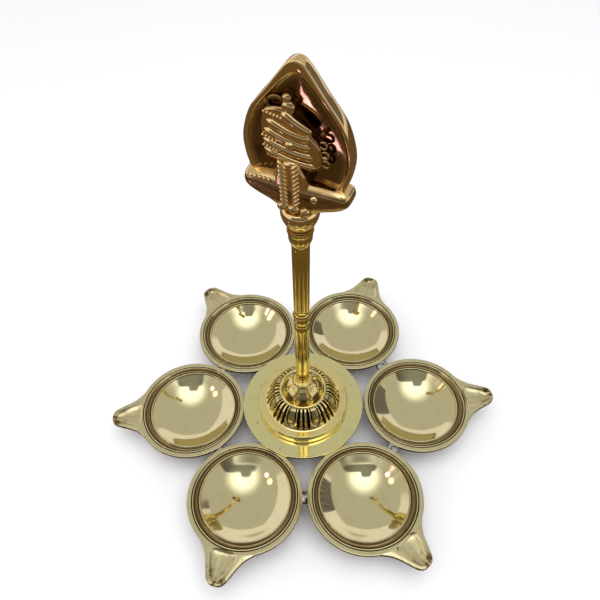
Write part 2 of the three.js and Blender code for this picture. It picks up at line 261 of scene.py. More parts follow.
STAIN = Cloud(160, 4, 0.0, 0.5, 0.78)
FINE_STAIN = Cloud(900, 3, 0.31, 0.52, 0.8)
SMUDGES = Cloud(75, 3, 0.13, 0.35, 0.75)
WAVES = Cloud(38, 1)
SAND = Cloud(1600, 3)
SAND_LUMPS = Cloud(420, 2)
PITS = Cloud(520, 1, 0.77)
SPOUT_TIP_STAIN = Cloud(620, 4, 0.4, 0.46, 0.62)
FILE_WANDER = Cloud(90, 2)
FLUX_CRUST = Cloud(420, 4, 0.0, 0.42, 0.62)
SOLDER_GRAINS = Cloud(2400, 3, 0.2)
PIT_COLOUR: Colour = (0.02, 0.013, 0.006, 1)
LATHE_LINES_A_METRE = 2600
FILE_LINES_A_METRE = 2300
STREAKS_A_METRE = 1500


@dataclass(frozen=True)
class BrassFinish:
    """Brass or bronze, clean or tarnished, with painted shade where its pieces give recess values.

    The line height is that of lathe lines, in metres. The other marks' heights are multiples
    of it.
    """

    name: str
    slot: str
    colour: Colour
    tarnish_and_shade: Colour
    roughness: float
    smudge: float
    grain: Grain
    line_height: float
    tarnish_share: float = 0.25
    pit_share: float = 0.0
    dulling: float = 0.12
    spout_start: float = 25.0 * MM
    spout_reach: float = 39.8 * MM
    wave_height: float = 14
    sand_height: float = 2
    lump_height: float = 5
    file_height: float = 5

    def material(self) -> bpy.types.Material:
        """Build the material.

        Returns:
            A material that reads the pieces' own "local" place and "recess" values.
        """
        made = bpy.data.materials.new(self.name)
        made.use_nodes = True
        book = NodeBook(made.node_tree)
        shader = made.node_tree.nodes["Principled BSDF"]
        shader.inputs["Metallic"].default_value = 1.0
        local = book.node("ShaderNodeAttribute", {"attribute_name": "local"}, {}, "Vector")
        recess = book.node("ShaderNodeAttribute", {"attribute_name": "recess"}, {}, "Fac")
        height, roughness, marks = self._worked(book, local)
        stain = STAIN.patches(book, local) * self.tarnish_share
        fine_stain = FINE_STAIN.patches(book, local) * self.tarnish_share
        # The recess values paint shade into the colour, together with tarnish; the stains are real
        # tarnish.
        shade = (recess + stain + fine_stain * 0.6 + marks).clamped()
        base = book.mix(shade, self.colour, self.tarnish_and_shade)
        if self.pit_share > 0:
            edge = 1 - self.pit_share
            pits = book.ramp(PITS.noise(book, local), edge, edge + 0.02)
            base = book.mix(pits * 0.85, base, PIT_COLOUR)
            roughness = roughness + pits * 0.4
        book.feed(shader.inputs["Base Color"], base)
        book.feed(shader.inputs["Roughness"], (roughness + recess * self.dulling).clamped())
        bump = book.node(
            "ShaderNodeBump", {}, {"Height": height, "Strength": 1.0, "Distance": 1.0}, "Normal"
        )
        book.feed(shader.inputs["Normal"], bump)
        return made

    def _worked(self, book: NodeBook, local: Wire) -> tuple[Wire, Wire, Wire]:
        """Bump height, roughness and dark marks left by the way the surface was worked.

        Args:
            book: The material's nodes.
            local: Place on the piece, with the turning axis along z.

        Returns:
            Bump height in metres, roughness, and a share of dark marks.
        """
        wave = WAVES.noise(book, local) * (self.line_height * self.wave_height)
        smudges = SMUDGES.patches(book, local)
        roughness = self.roughness + smudges * self.smudge
        no_marks = smudges * 0.0
        if self.grain is Grain.CAST:
            sand = SAND.noise(book, local) * self.line_height * self.sand_height
            lumps = SAND_LUMPS.noise(book, local) * self.line_height * self.lump_height
            return sand + lumps + wave, roughness, no_marks
        flat = book.node(
            "ShaderNodeVectorMath", {"operation": "MULTIPLY"}, {0: local, 1: (1.0, 1.0, 0.0)}
        )
        radius = book.node("ShaderNodeVectorMath", {"operation": "LENGTH"}, {0: flat}, "Value")
        up = book.node("ShaderNodeSeparateXYZ", {}, {0: local}, "Z")
        rings = book.noise_along(radius + up * 0.83, LATHE_LINES_A_METRE, 2) * self.line_height
        if self.grain is Grain.TURNED:
            return rings + wave, roughness, no_marks
        along = book.node("ShaderNodeSeparateXYZ", {}, {0: local}, "X")
        across = book.node("ShaderNodeSeparateXYZ", {}, {0: local}, "Y")
        on_spout = book.ramp(along, self.spout_start, self.spout_start + 1.5 * MM)
        wander = FILE_WANDER.noise(book, local) * 1.2 * MM
        lines = book.noise_along(across + wander, FILE_LINES_A_METRE, 3)
        files = lines * self.line_height * self.file_height
        height = rings * (1 - on_spout) + files * on_spout + wave
        satin = roughness * (1 - on_spout) + (lines * 0.16 + 0.2) * on_spout
        stretched = book.node(
            "ShaderNodeVectorMath", {"operation": "MULTIPLY"}, {0: local, 1: (0.45, 1.0, 1.0)}
        )
        patches = SPOUT_TIP_STAIN.patches(book, stretched)
        near_tip = book.ramp(along, self.spout_reach - 9 * MM, self.spout_reach - 2 * MM)
        streaks = book.noise_along(across + wander, STREAKS_A_METRE, 2)
        streaks = book.ramp(streaks, 0.5, 0.72)
        marks = on_spout * (patches * near_tip * 0.9 + streaks * 0.38 + near_tip * 0.15)
        return height, satin, marks


@dataclass(frozen=True)
class SolderFinish:
    """Dull grey solder with a crust of flux."""

    name: str = "solder_metal"
    slot: str = "solder"
    colour: Colour = (0.50, 0.50, 0.47, 1)
    crust: Colour = (0.07, 0.055, 0.04, 1)
    roughness: float = 0.38
    crust_roughness: float = 0.3
    crust_height: float = 40e-6
    grain_height: float = 30e-6

    def material(self) -> bpy.types.Material:
        """Build the material."""
        made = bpy.data.materials.new(self.name)
        made.use_nodes = True
        book = NodeBook(made.node_tree)
        shader = made.node_tree.nodes["Principled BSDF"]
        shader.inputs["Metallic"].default_value = 0.9
        place = book.node("ShaderNodeTexCoord", {}, {}, "Object")
        crust = FLUX_CRUST.patches(book, place)
        book.feed(shader.inputs["Base Color"], book.mix(crust, self.colour, self.crust))
        roughness = (self.roughness + crust * self.crust_roughness).clamped()
        book.feed(shader.inputs["Roughness"], roughness)
        grains = SOLDER_GRAINS.noise(book, place)
        height = grains * self.grain_height + crust * self.crust_height
        bump = book.node(
            "ShaderNodeBump", {}, {"Height": height, "Strength": 1.0, "Distance": 1.0}, "Normal"
        )
        book.feed(shader.inputs["Normal"], bump)
        return made


@dataclass(frozen=True)
class FloorFinish:
    """Matt pale floor with faint clouds."""

    name: str = "pale_floor"
    colour: Colour = (0.90, 0.90, 0.895, 1)
    clouded: Colour = (0.87, 0.87, 0.865, 1)

    def material(self) -> bpy.types.Material:
        """Build the material."""
        made = bpy.data.materials.new(self.name)
        made.use_nodes = True
        book = NodeBook(made.node_tree)
        shader = made.node_tree.nodes["Principled BSDF"]
        shader.inputs["Roughness"].default_value = 0.7
        place = book.node("ShaderNodeTexCoord", {}, {}, "Object")
        cloud = book.noise(place, 6, 2)
        book.feed(shader.inputs["Base Color"], book.mix(cloud, self.colour, self.clouded))
        return made


# The cups' second colour paints shade in the valley and cove as well as tarnish.
CUP_BRASS = BrassFinish(
    "cup_polished_brass", "cup_brass", (0.72, 0.635, 0.34, 1), (0.15, 0.085, 0.02, 1),
    0.055, 0.07, Grain.SPOUTED, 1.1e-6, 0.10,
)
PLATE_BRASS = BrassFinish(
    "plate_mirror_brass", "plate_brass", (0.81, 0.735, 0.335, 1), (0.25, 0.17, 0.06, 1),
    0.035, 0.06, Grain.TURNED, 0.5e-6, 0.12, 0.26,
)
# Its second colour paints shade in the stem pieces' grooves as well as tarnish.
STEM_BRASS = BrassFinish(
    "stem_yellow_brass", "turned_brass", (0.84, 0.66, 0.19, 1), (0.10, 0.055, 0.012, 1),
    0.07, 0.09, Grain.TURNED, 1.6e-6, 0.22,
)
# Its near-black second colour paints shade on the dome and dark reflections on the boss, besides
# tarnish.
PEDESTAL_BRASS = BrassFinish(
    "pedestal_cast_brass", "turned_brass", (0.88, 0.73, 0.30, 1), (0.035, 0.018, 0.005, 1),
    0.07, 0.07, Grain.CAST, 2.0e-6, 0.18,
)
# Its second colour paints shade low in the relief and in the knob's groove, along with patina.
FINIAL_BRONZE = BrassFinish(
    "finial_cast_bronze", "finial_bronze", (0.87, 0.625, 0.275, 1), (0.17, 0.065, 0.018, 1),
    0.10, 0.08, Grain.CAST, 3.0e-6, 0.2,
)
# The dish's dark second colour paints a dark reflection in its hollow along with patina.
DISH_BRONZE = replace(
    FINIAL_BRONZE, name="dish_bronze_patina_and_dark_reflection", tarnish_and_shade=(0.14, 0.07, 0.018, 1), roughness=0.06,
    smudge=0.04, line_height=2.0e-6, dulling=0.0,
)

Finish = Union[BrassFinish, SolderFinish]


class FinishShelf:
    """Makes each finish once and hands out its material."""

    def __init__(self) -> None:
        """Start with no material made."""
        self._made: dict[str, bpy.types.Material] = {}

    def take(self, finish: Finish) -> bpy.types.Material:
        """The finish's material, made at the first call."""
        if finish.name not in self._made:
            self._made[finish.name] = finish.material()
            LOG.info("finish %s", finish.name)
        return self._made[finish.name]


SHELF = FinishShelf()


# ---- Outlines ----------------------------------------------------------------------------
def smooth_line(points: Points, per_span: int) -> list[tuple[float, float]]:
    """A smooth curve through the given points.

    Args:
        points: Places in any plane.
        per_span: Steps between two neighbouring points.

    Returns:
        Points of a cubic curve that passes through every given point, both ends included.
    """
    known = np.array(points, float)
    padded = np.vstack([2 * known[0] - known[1], known, 2 * known[-1] - known[-2]])
    curve = []
    for i in range(1, len(padded) - 2):
        before, start, end, after = padded[i - 1 : i + 3]
        span = np.linalg.norm(end - start)
        leave = (end - before) / (np.linalg.norm(start - before) + span) * span
        arrive = (after - start) / (np.linalg.norm(after - end) + span) * span
        for t in np.arange(per_span) / per_span:
            t2, t3 = t * t, t * t * t
            curve.append(
                (2 * t3 - 3 * t2 + 1) * start
                + (t3 - 2 * t2 + t) * leave
                + (3 * t2 - 2 * t3) * end
                + (t3 - t2) * arrive
            )
    curve.append(known[-1])
    return [tuple(p) for p in curve]


def arc(centre: tuple[float, float], radius: float, start: float, end: float, steps: int) -> list:
    """Points on an arc of a circle, with both angles in degrees."""
    turns = np.radians(np.linspace(start, end, steps + 1))
    return [(centre[0] + radius * math.cos(a), centre[1] + radius * math.sin(a)) for a in turns]


def inset(outline: np.ndarray, distance: float) -> np.ndarray:
    """A closed anticlockwise outline moved inwards by a distance.

    Args:
        outline: Points in order, without the first one repeated.
        distance: How far each point moves along its inward normal.

    Returns:
        The moved points, in the same order.
    """
    ahead = np.roll(outline, -1, axis=0) - outline
    behind = outline - np.roll(outline, 1, axis=0)
    ahead /= np.linalg.norm(ahead, axis=1)[:, None] + 1e-12
    behind /= np.linalg.norm(behind, axis=1)[:, None] + 1e-12
    along = ahead + behind
    along /= np.linalg.norm(along, axis=1)[:, None] + 1e-12
    inward = np.stack([-along[:, 1], along[:, 0]], axis=1)
    return outline + inward * distance


def resampled(outline: Points, count: int) -> np.ndarray:
    """A closed outline as evenly spaced points.

    Args:
        outline: Points in order.
        count: How many points the result has.

    Returns:
        The points as an array of pairs.
    """
    ring = np.array(list(outline) + [outline[0]], float)
    steps = np.linalg.norm(np.diff(ring, axis=0), axis=1)
    places = np.concatenate([[0], np.cumsum(steps)])
    wanted = np.linspace(0, places[-1], count, endpoint=False)
    return np.stack([np.interp(wanted, places, ring[:, k]) for k in (0, 1)], axis=1)


# ---- Meshes ------------------------------------------------------------------------------
RIDGE_SIDES = 12
RIDGE_TIP = 0.12
RIDGE_TAPER = 3.2


def new_object(name: str, verts: np.ndarray, faces: Sequence[Sequence[int]]) -> bpy.types.Object:
    """Link a new mesh object with the given vertices and faces."""
    mesh = bpy.data.meshes.new(name)
    mesh.from_pydata([tuple(v) for v in verts], [], [tuple(int(i) for i in f) for f in faces])
    mesh.validate()
    made = bpy.data.objects.new(name, mesh)
    bpy.context.scene.collection.objects.link(made)
    return made


def lofted(name: str, rings: Sequence[np.ndarray]) -> bpy.types.Object:
    """A closed solid through rings of equal point counts, with a pole at each end.

    Args:
        name: The object's name.
        rings: Rings of 3-D points, anticlockwise seen from the last ring's side.

    Returns:
        The new object.
    """
    count = len(rings[0])
    verts = [np.mean(rings[0], axis=0)]
    for ring in rings:
        verts.extend(ring)
    verts.append(np.mean(rings[-1], axis=0))
    last = len(verts) - 1
    faces = []
    for i in range(count):
        j = (i + 1) % count
        faces.append((0, 1 + j, 1 + i))
        for k in range(len(rings) - 1):
            low, high = 1 + k * count, 1 + (k + 1) * count
            faces.append((low + i, low + j, high + j, high + i))
        top = 1 + (len(rings) - 1) * count
        faces.append((top + i, top + j, last))
    return new_object(name, np.array(verts), faces)


def pillow(name: str, outline: np.ndarray, levels: Points) -> bpy.types.Object:
    """A flat outline in XY turned into a solid with shaped edges.

    Args:
        name: The object's name.
        outline: Anticlockwise points.
        levels: Pairs of inset from the outline and height, from the back to the front.

    Returns:
        The new object.
    """
    rings = []
    for step, height in levels:
        flat = inset(outline, step)
        rings.append(np.column_stack([flat, np.full(len(flat), height)]))
    return lofted(name, rings)


def ridge(name: str, path: np.ndarray, half_width: float, rise: float) -> bpy.types.Object:
    """A rounded bar along a path, tapered at both ends, widest in XY and low in Z.

    Args:
        name: The object's name.
        path: Points of its centreline.
        half_width: Half its width across the path.
        rise: Half its height.

    Returns:
        The new object.
    """
    rings = []
    turns = np.linspace(0, 2 * math.pi, RIDGE_SIDES, endpoint=False)
    for i, point in enumerate(path):
        ahead = path[min(i + 1, len(path) - 1)] - path[max(i - 1, 0)]
        ahead /= np.linalg.norm(ahead)
        side = np.cross(ahead, (0, 0, 1))
        side /= np.linalg.norm(side)
        share = i / (len(path) - 1)
        taper = max(RIDGE_TIP, min(1.0, math.sin(math.pi * share) * RIDGE_TAPER)) ** 0.6
        ring = [
            point + taper * (side * half_width * math.cos(a) + np.array((0, 0, rise * math.sin(a))))
            for a in turns
        ]
        rings.append(np.array(ring))
    return lofted(name, rings)


def combined(base: bpy.types.Object, tool: bpy.types.Object, operation: str) -> bpy.types.Object:
    """Join or cut two solids and throw the tool away.

    Args:
        base: The solid that stays.
        tool: The solid that is added or cut away.
        operation: "UNION", "DIFFERENCE" or "INTERSECT".

    Returns:
        The base object with its new mesh.
    """
    change = base.modifiers.new("combine", "BOOLEAN")
    change.operation = operation
    change.solver = "MANIFOLD"
    change.object = tool
    settle(base)
    bpy.data.objects.remove(tool)
    return base


def settle(thing: bpy.types.Object) -> None:
    """Turn an object's modifiers into a plain mesh."""
    bpy.context.view_layer.update()
    done = thing.evaluated_get(bpy.context.evaluated_depsgraph_get())
    mesh = bpy.data.meshes.new_from_object(done)
    thing.modifiers.clear()
    thing.data = mesh


def joined(name: str, things: Sequence[bpy.types.Object]) -> bpy.types.Object:
    """Several objects as one object with all their shells."""
    verts, faces, start = [], [], 0
    for thing in things:
        mesh = thing.data
        verts.extend(v.co.copy() for v in mesh.vertices)
        faces.extend([start + i for i in p.vertices] for p in mesh.polygons)
        start += len(mesh.vertices)
    made = new_object(name, np.array([tuple(v) for v in verts]), faces)
    for thing in things:
        bpy.data.objects.remove(thing)
    return made


def vertex_array(thing: bpy.types.Object) -> np.ndarray:
    """The vertices of a mesh object as rows of an array."""
    flat = np.zeros(len(thing.data.vertices) * 3, np.float32)
    thing.data.vertices.foreach_get("co", flat)
    return flat.reshape(-1, 3).astype(float)


def dress(
    piece: bpy.types.Object,
    finish: Finish,
    body: str,
    node: str,
    place: Matrix = Matrix.Identity(4),
    recess: Callable[[np.ndarray], np.ndarray] | None = None,
    crease: float = 38.0,
) -> bpy.types.Object:
    """Put a piece in its place, give it its finish and fix it to its body.

    Args:
        piece: The mesh object, built round its own axis.
        finish: The finish it takes.
        body: The body that it rides on.
        node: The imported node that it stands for.
        place: Where the piece goes.
        recess: Gives 0 for open and up to 1 for sunken points, from their own places.
        crease: Angle in degrees above which an edge stays sharp.

    Returns:
        The same object.
    """
    mesh = piece.data
    local = vertex_array(piece)
    attribute = mesh.attributes.new("local", "FLOAT_VECTOR", "POINT")
    attribute.data.foreach_set("vector", local.astype(np.float32).ravel())
    sunk = np.zeros(len(local)) if recess is None else np.clip(recess(local), 0, 1)
    depth = mesh.attributes.new("recess", "FLOAT", "POINT")
    depth.data.foreach_set("value", sunk.astype(np.float32))
    mesh.transform(place)
    mesh.materials.clear()
    mesh.materials.append(SHELF.take(finish))
    mesh.polygons.foreach_set("use_smooth", [True] * len(mesh.polygons))
    mesh.set_sharp_from_angle(angle=math.radians(crease))
    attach(piece, body)
    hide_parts(node)
    LOG.info("piece %s: %d vertices on %s", piece.name, len(mesh.vertices), body)
    return piece


# ---- Geometry node trees -----------------------------------------------------------------
class LatheTree:
    """Turns a closed profile about Z, with ribs, panels and lobes cut in by a rule.

    The profile is a line of points: x is radius, z is height. Its "inward" values say which
    way a cut goes, its "flutes", "panels" and "lobes" values how deep it is there, and its
    "arch" values how far past the start of a panel's round end the point lies.
    """

    CUTS = ("flutes", "panels", "lobes", "arch")
    SIZES = {
        "Segments": ("NodeSocketInt", 192),
        "Rows": ("NodeSocketInt", 2),
        "Groups": ("NodeSocketFloat", 8.0),
        "First Group": ("NodeSocketFloat", 0.0),
        "Rib Pitch": ("NodeSocketFloat", 0.14),
        "Groove Half": ("NodeSocketFloat", 0.03),
        "Panel Half": ("NodeSocketFloat", 0.12),
        "Border Share": ("NodeSocketFloat", 0.2),
        "Lobe Half": ("NodeSocketFloat", 0.1),
        "Material": ("NodeSocketMaterial", None),
    }

    def __init__(self) -> None:
        """Build the tree once."""
        self.tree = bpy.data.node_groups.new("turn_profile", "GeometryNodeTree")
        face = self.tree.interface
        face.new_socket("Geometry", in_out="INPUT", socket_type="NodeSocketGeometry")
        self.keys: dict[str, str] = {}
        for name, (kind, value) in self.SIZES.items():
            socket = face.new_socket(name, in_out="INPUT", socket_type=kind)
            if value is not None:
                socket.default_value = value
            self.keys[name] = socket.identifier
        face.new_socket("Geometry", in_out="OUTPUT", socket_type="NodeSocketGeometry")
        self._build()

    def _sample(self, book: NodeBook, profile: Wire, name: str, kind: str, index: Wire) -> Wire:
        """Read one of the profile's values at a point number."""
        value = book.node(
            "GeometryNodeInputNamedAttribute", {"data_type": kind}, {"Name": name}
        )
        return book.node(
            "GeometryNodeSampleIndex",
            {"data_type": kind, "domain": "POINT"},
            {"Geometry": profile, "Value": value, "Index": index},
        )

    def _groove(self, middle: Wire, half: Value) -> Wire:
        """A rounded groove: 1 along its middle and 0 beyond its half width."""
        across = middle / half
        return (1 - across * across).clamped()

    def _build(self) -> None:
        """Add the nodes."""
        book = NodeBook(self.tree)
        entry = self.tree.nodes.new("NodeGroupInput")
        size = {s.name: Wire(book, s) for s in entry.outputs}
        profile = size["Geometry"]
        rows, segments = size["Rows"], size["Segments"]
        grid = book.node(
            "GeometryNodeMeshGrid",
            {},
            {"Size X": 1.0, "Size Y": 1.0, "Vertices X": segments + 1, "Vertices Y": rows},
            "Mesh",
        )
        index = book.node("GeometryNodeInputIndex", {}, {}, "Index")
        column = (index / rows + 1e-4).floor()
        row = index - column * rows
        angle = column / segments * (2 * math.pi)
        place = self._sample(book, profile, "place", "FLOAT_VECTOR", row)
        inward = self._sample(book, profile, "inward", "FLOAT_VECTOR", row)
        flutes = self._sample(book, profile, "flutes", "FLOAT", row)
        panels = self._sample(book, profile, "panels", "FLOAT", row)
        lobes = self._sample(book, profile, "lobes", "FLOAT", row)
        arch = self._sample(book, profile, "arch", "FLOAT", row)
        period = 2 * math.pi / size["Groups"]
        from_group = (angle - size["First Group"] + period / 2) % period - period / 2
        off = abs(from_group)
        half = size["Groove Half"]
        grooves = self._groove(off, half)
        grooves = grooves.most(self._groove(off - size["Rib Pitch"], half))
        from_panel = off - period / 2
        across = from_panel / size["Panel Half"]
        round_end = (across * across + arch * arch) ** 0.5
        panel = self._groove(round_end - 1, size["Border Share"])
        lobe = self._groove(from_panel, size["Lobe Half"])
        depth = (flutes * grooves).most(panels * panel) + lobes * lobe
        moved = book.node(
            "ShaderNodeVectorMath", {"operation": "SCALE"}, {0: inward, "Scale": depth}
        )
        at = book.node("ShaderNodeVectorMath", {"operation": "ADD"}, {0: place, 1: moved})
        radius = book.node("ShaderNodeSeparateXYZ", {}, {0: at}, "X")
        height = book.node("ShaderNodeSeparateXYZ", {}, {0: at}, "Z")
        turned = book.node(
            "ShaderNodeCombineXYZ", {},
            {"X": radius * angle.cosine(), "Y": radius * angle.sine(), "Z": height},
        )
        shaped = book.node("GeometryNodeSetPosition", {}, {"Geometry": grid, "Position": turned})
        merged = book.node(
            "GeometryNodeMergeByDistance", {}, {"Geometry": shaped, "Distance": 1e-7}
        )
        real = book.node("GeometryNodeRealizeInstances", {}, {"Geometry": merged})
        painted = book.node(
            "GeometryNodeSetMaterial", {}, {"Geometry": real, "Material": size["Material"]}
        )
        leave = self.tree.nodes.new("NodeGroupOutput")
        book.feed(leave.inputs[0], painted)

    def turn(
        self,
        name: str,
        profile: Points,
        segments: int,
        finish: Finish,
        cuts: dict[str, np.ndarray] | None = None,
        **sizes: float,
    ) -> bpy.types.Object:
        """Make one turned piece.

        Args:
            name: The object's name.
            profile: Radius and height of each point in metres, anticlockwise, either closed or
                from the axis to the axis.
            segments: Steps round the axis.
            finish: Its finish.
            cuts: Values of the CUTS at each point.
            **sizes: The tree's other sizes, by input name with underscores for spaces.

        Returns:
            The turned solid as a plain mesh.
        """
        line = np.array(profile, float)
        verts = np.column_stack([line[:, 0], np.zeros(len(line)), line[:, 1]])
        made = new_object(name, verts, [])
        mesh = made.data
        self._write(mesh, "place", verts)
        ahead = np.roll(line, -1, axis=0) - np.roll(line, 1, axis=0)
        ahead /= np.linalg.norm(ahead, axis=1)[:, None] + 1e-12
        inward = np.column_stack([-ahead[:, 1], np.zeros(len(line)), ahead[:, 0]])
        self._write(mesh, "inward", inward)
        for kind in self.CUTS:
            self._write(mesh, kind, (cuts or {}).get(kind, np.zeros(len(line))))
        change = made.modifiers.new("turn", "NODES")
        change.node_group = self.tree
        values = {"Segments": segments, "Rows": len(line), "Material": SHELF.take(finish)}
        values.update({key.replace("_", " "): value for key, value in sizes.items()})
        for key, value in values.items():
            change[self.keys[key]] = value
        settle(made)
        for kind in ("place", "inward", *self.CUTS):
            if kind in made.data.attributes:
                made.data.attributes.remove(made.data.attributes[kind])
        return made

    @staticmethod
    def _write(mesh: bpy.types.Mesh, name: str, values: np.ndarray) -> None:
        """Store one value or vector for each point of a mesh."""
        vector = values.ndim == 2
        kind = "FLOAT_VECTOR" if vector else "FLOAT"
        attribute = mesh.attributes.new(name, kind, "POINT")
        flat = values.astype(np.float32).ravel()
        attribute.data.foreach_set("vector" if vector else "value", flat)


class BeadTree:
    """Sets small rounded beads at even steps along a path."""

    def __init__(self) -> None:
        """Build the tree once."""
        self.tree = bpy.data.node_groups.new("bead_row", "GeometryNodeTree")
        face = self.tree.interface
        face.new_socket("Geometry", in_out="INPUT", socket_type="NodeSocketGeometry")
        self.keys: dict[str, str] = {}
        sizes = (
            ("Count", "NodeSocketInt"),
            ("Bead Size", "NodeSocketVector"),
            ("Slant", "NodeSocketFloat"),
            ("Material", "NodeSocketMaterial"),
        )
        for name, kind in sizes:
            self.keys[name] = face.new_socket(name, in_out="INPUT", socket_type=kind).identifier
        face.new_socket("Geometry", in_out="OUTPUT", socket_type="NodeSocketGeometry")
        self._build()

    def _build(self) -> None:
        """Add the nodes."""
        book = NodeBook(self.tree)
        entry = self.tree.nodes.new("NodeGroupInput")
        size = {s.name: Wire(book, s) for s in entry.outputs}
        path = book.node("GeometryNodeMeshToCurve", {}, {0: size["Geometry"]})
        even = book.node("GeometryNodeResampleCurve", {}, {"Curve": path, "Count": size["Count"]})
        along = book.node("GeometryNodeInputTangent")
        turn = book.node(
            "FunctionNodeAlignRotationToVector", {"axis": "X", "pivot_axis": "Z"}, {"Vector": along}
        )
        slant = book.node("ShaderNodeCombineXYZ", {}, {"Z": size["Slant"]})
        slanted = book.node(
            "FunctionNodeRotateRotation",
            {"rotation_space": "LOCAL"},
            {"Rotation": turn, "Rotate By": slant},
        )
        bead = book.node(
            "GeometryNodeMeshUVSphere", {}, {"Segments": 14, "Rings": 9, "Radius": 1.0}, "Mesh"
        )
        placed = book.node(
            "GeometryNodeInstanceOnPoints",
            {},
            {"Points": even, "Instance": bead, "Rotation": slanted, "Scale": size["Bead Size"]},
        )
        real = book.node("GeometryNodeRealizeInstances", {}, {"Geometry": placed})
        painted = book.node(
            "GeometryNodeSetMaterial", {}, {"Geometry": real, "Material": size["Material"]}
        )
        leave = self.tree.nodes.new("NodeGroupOutput")
        book.feed(leave.inputs[0], painted)

    def row(
        self,
        name: str,
        path: np.ndarray,
        count: int,
        size: tuple[float, float, float],
        finish: Finish,
        slant: float = 0.0,
        closed: bool = False,
    ) -> bpy.types.Object:
        """Make one row of beads.

        Args:
            name: The object's name.
            path: Points that the row follows.
            count: How many beads.
            size: A bead's half sizes along the path, across it and up.
            finish: Their finish.
            slant: Turn of each bead about Z, in radians.
            closed: Whether the path closes on itself.

        Returns:
            The beads as one plain mesh.
        """
        mesh = bpy.data.meshes.new(name)
        edges = [(i, i + 1) for i in range(len(path) - 1)]
        if closed:
            edges.append((len(path) - 1, 0))
        mesh.from_pydata([tuple(p) for p in path], edges, [])
        made = bpy.data.objects.new(name, mesh)
        bpy.context.scene.collection.objects.link(made)
        change = made.modifiers.new("beads", "NODES")
        change.node_group = self.tree
        change[self.keys["Count"]] = count
        change[self.keys["Bead Size"]] = size
        change[self.keys["Slant"]] = slant
        change[self.keys["Material"]] = SHELF.take(finish)
        settle(made)
        return made


LATHE = LatheTree()
BEADS = BeadTree()


def in_metres(points: Points) -> list[tuple[float, float]]:
    """Points given in millimetres, in metres."""
    return [(x * MM, z * MM) for x, z in points]


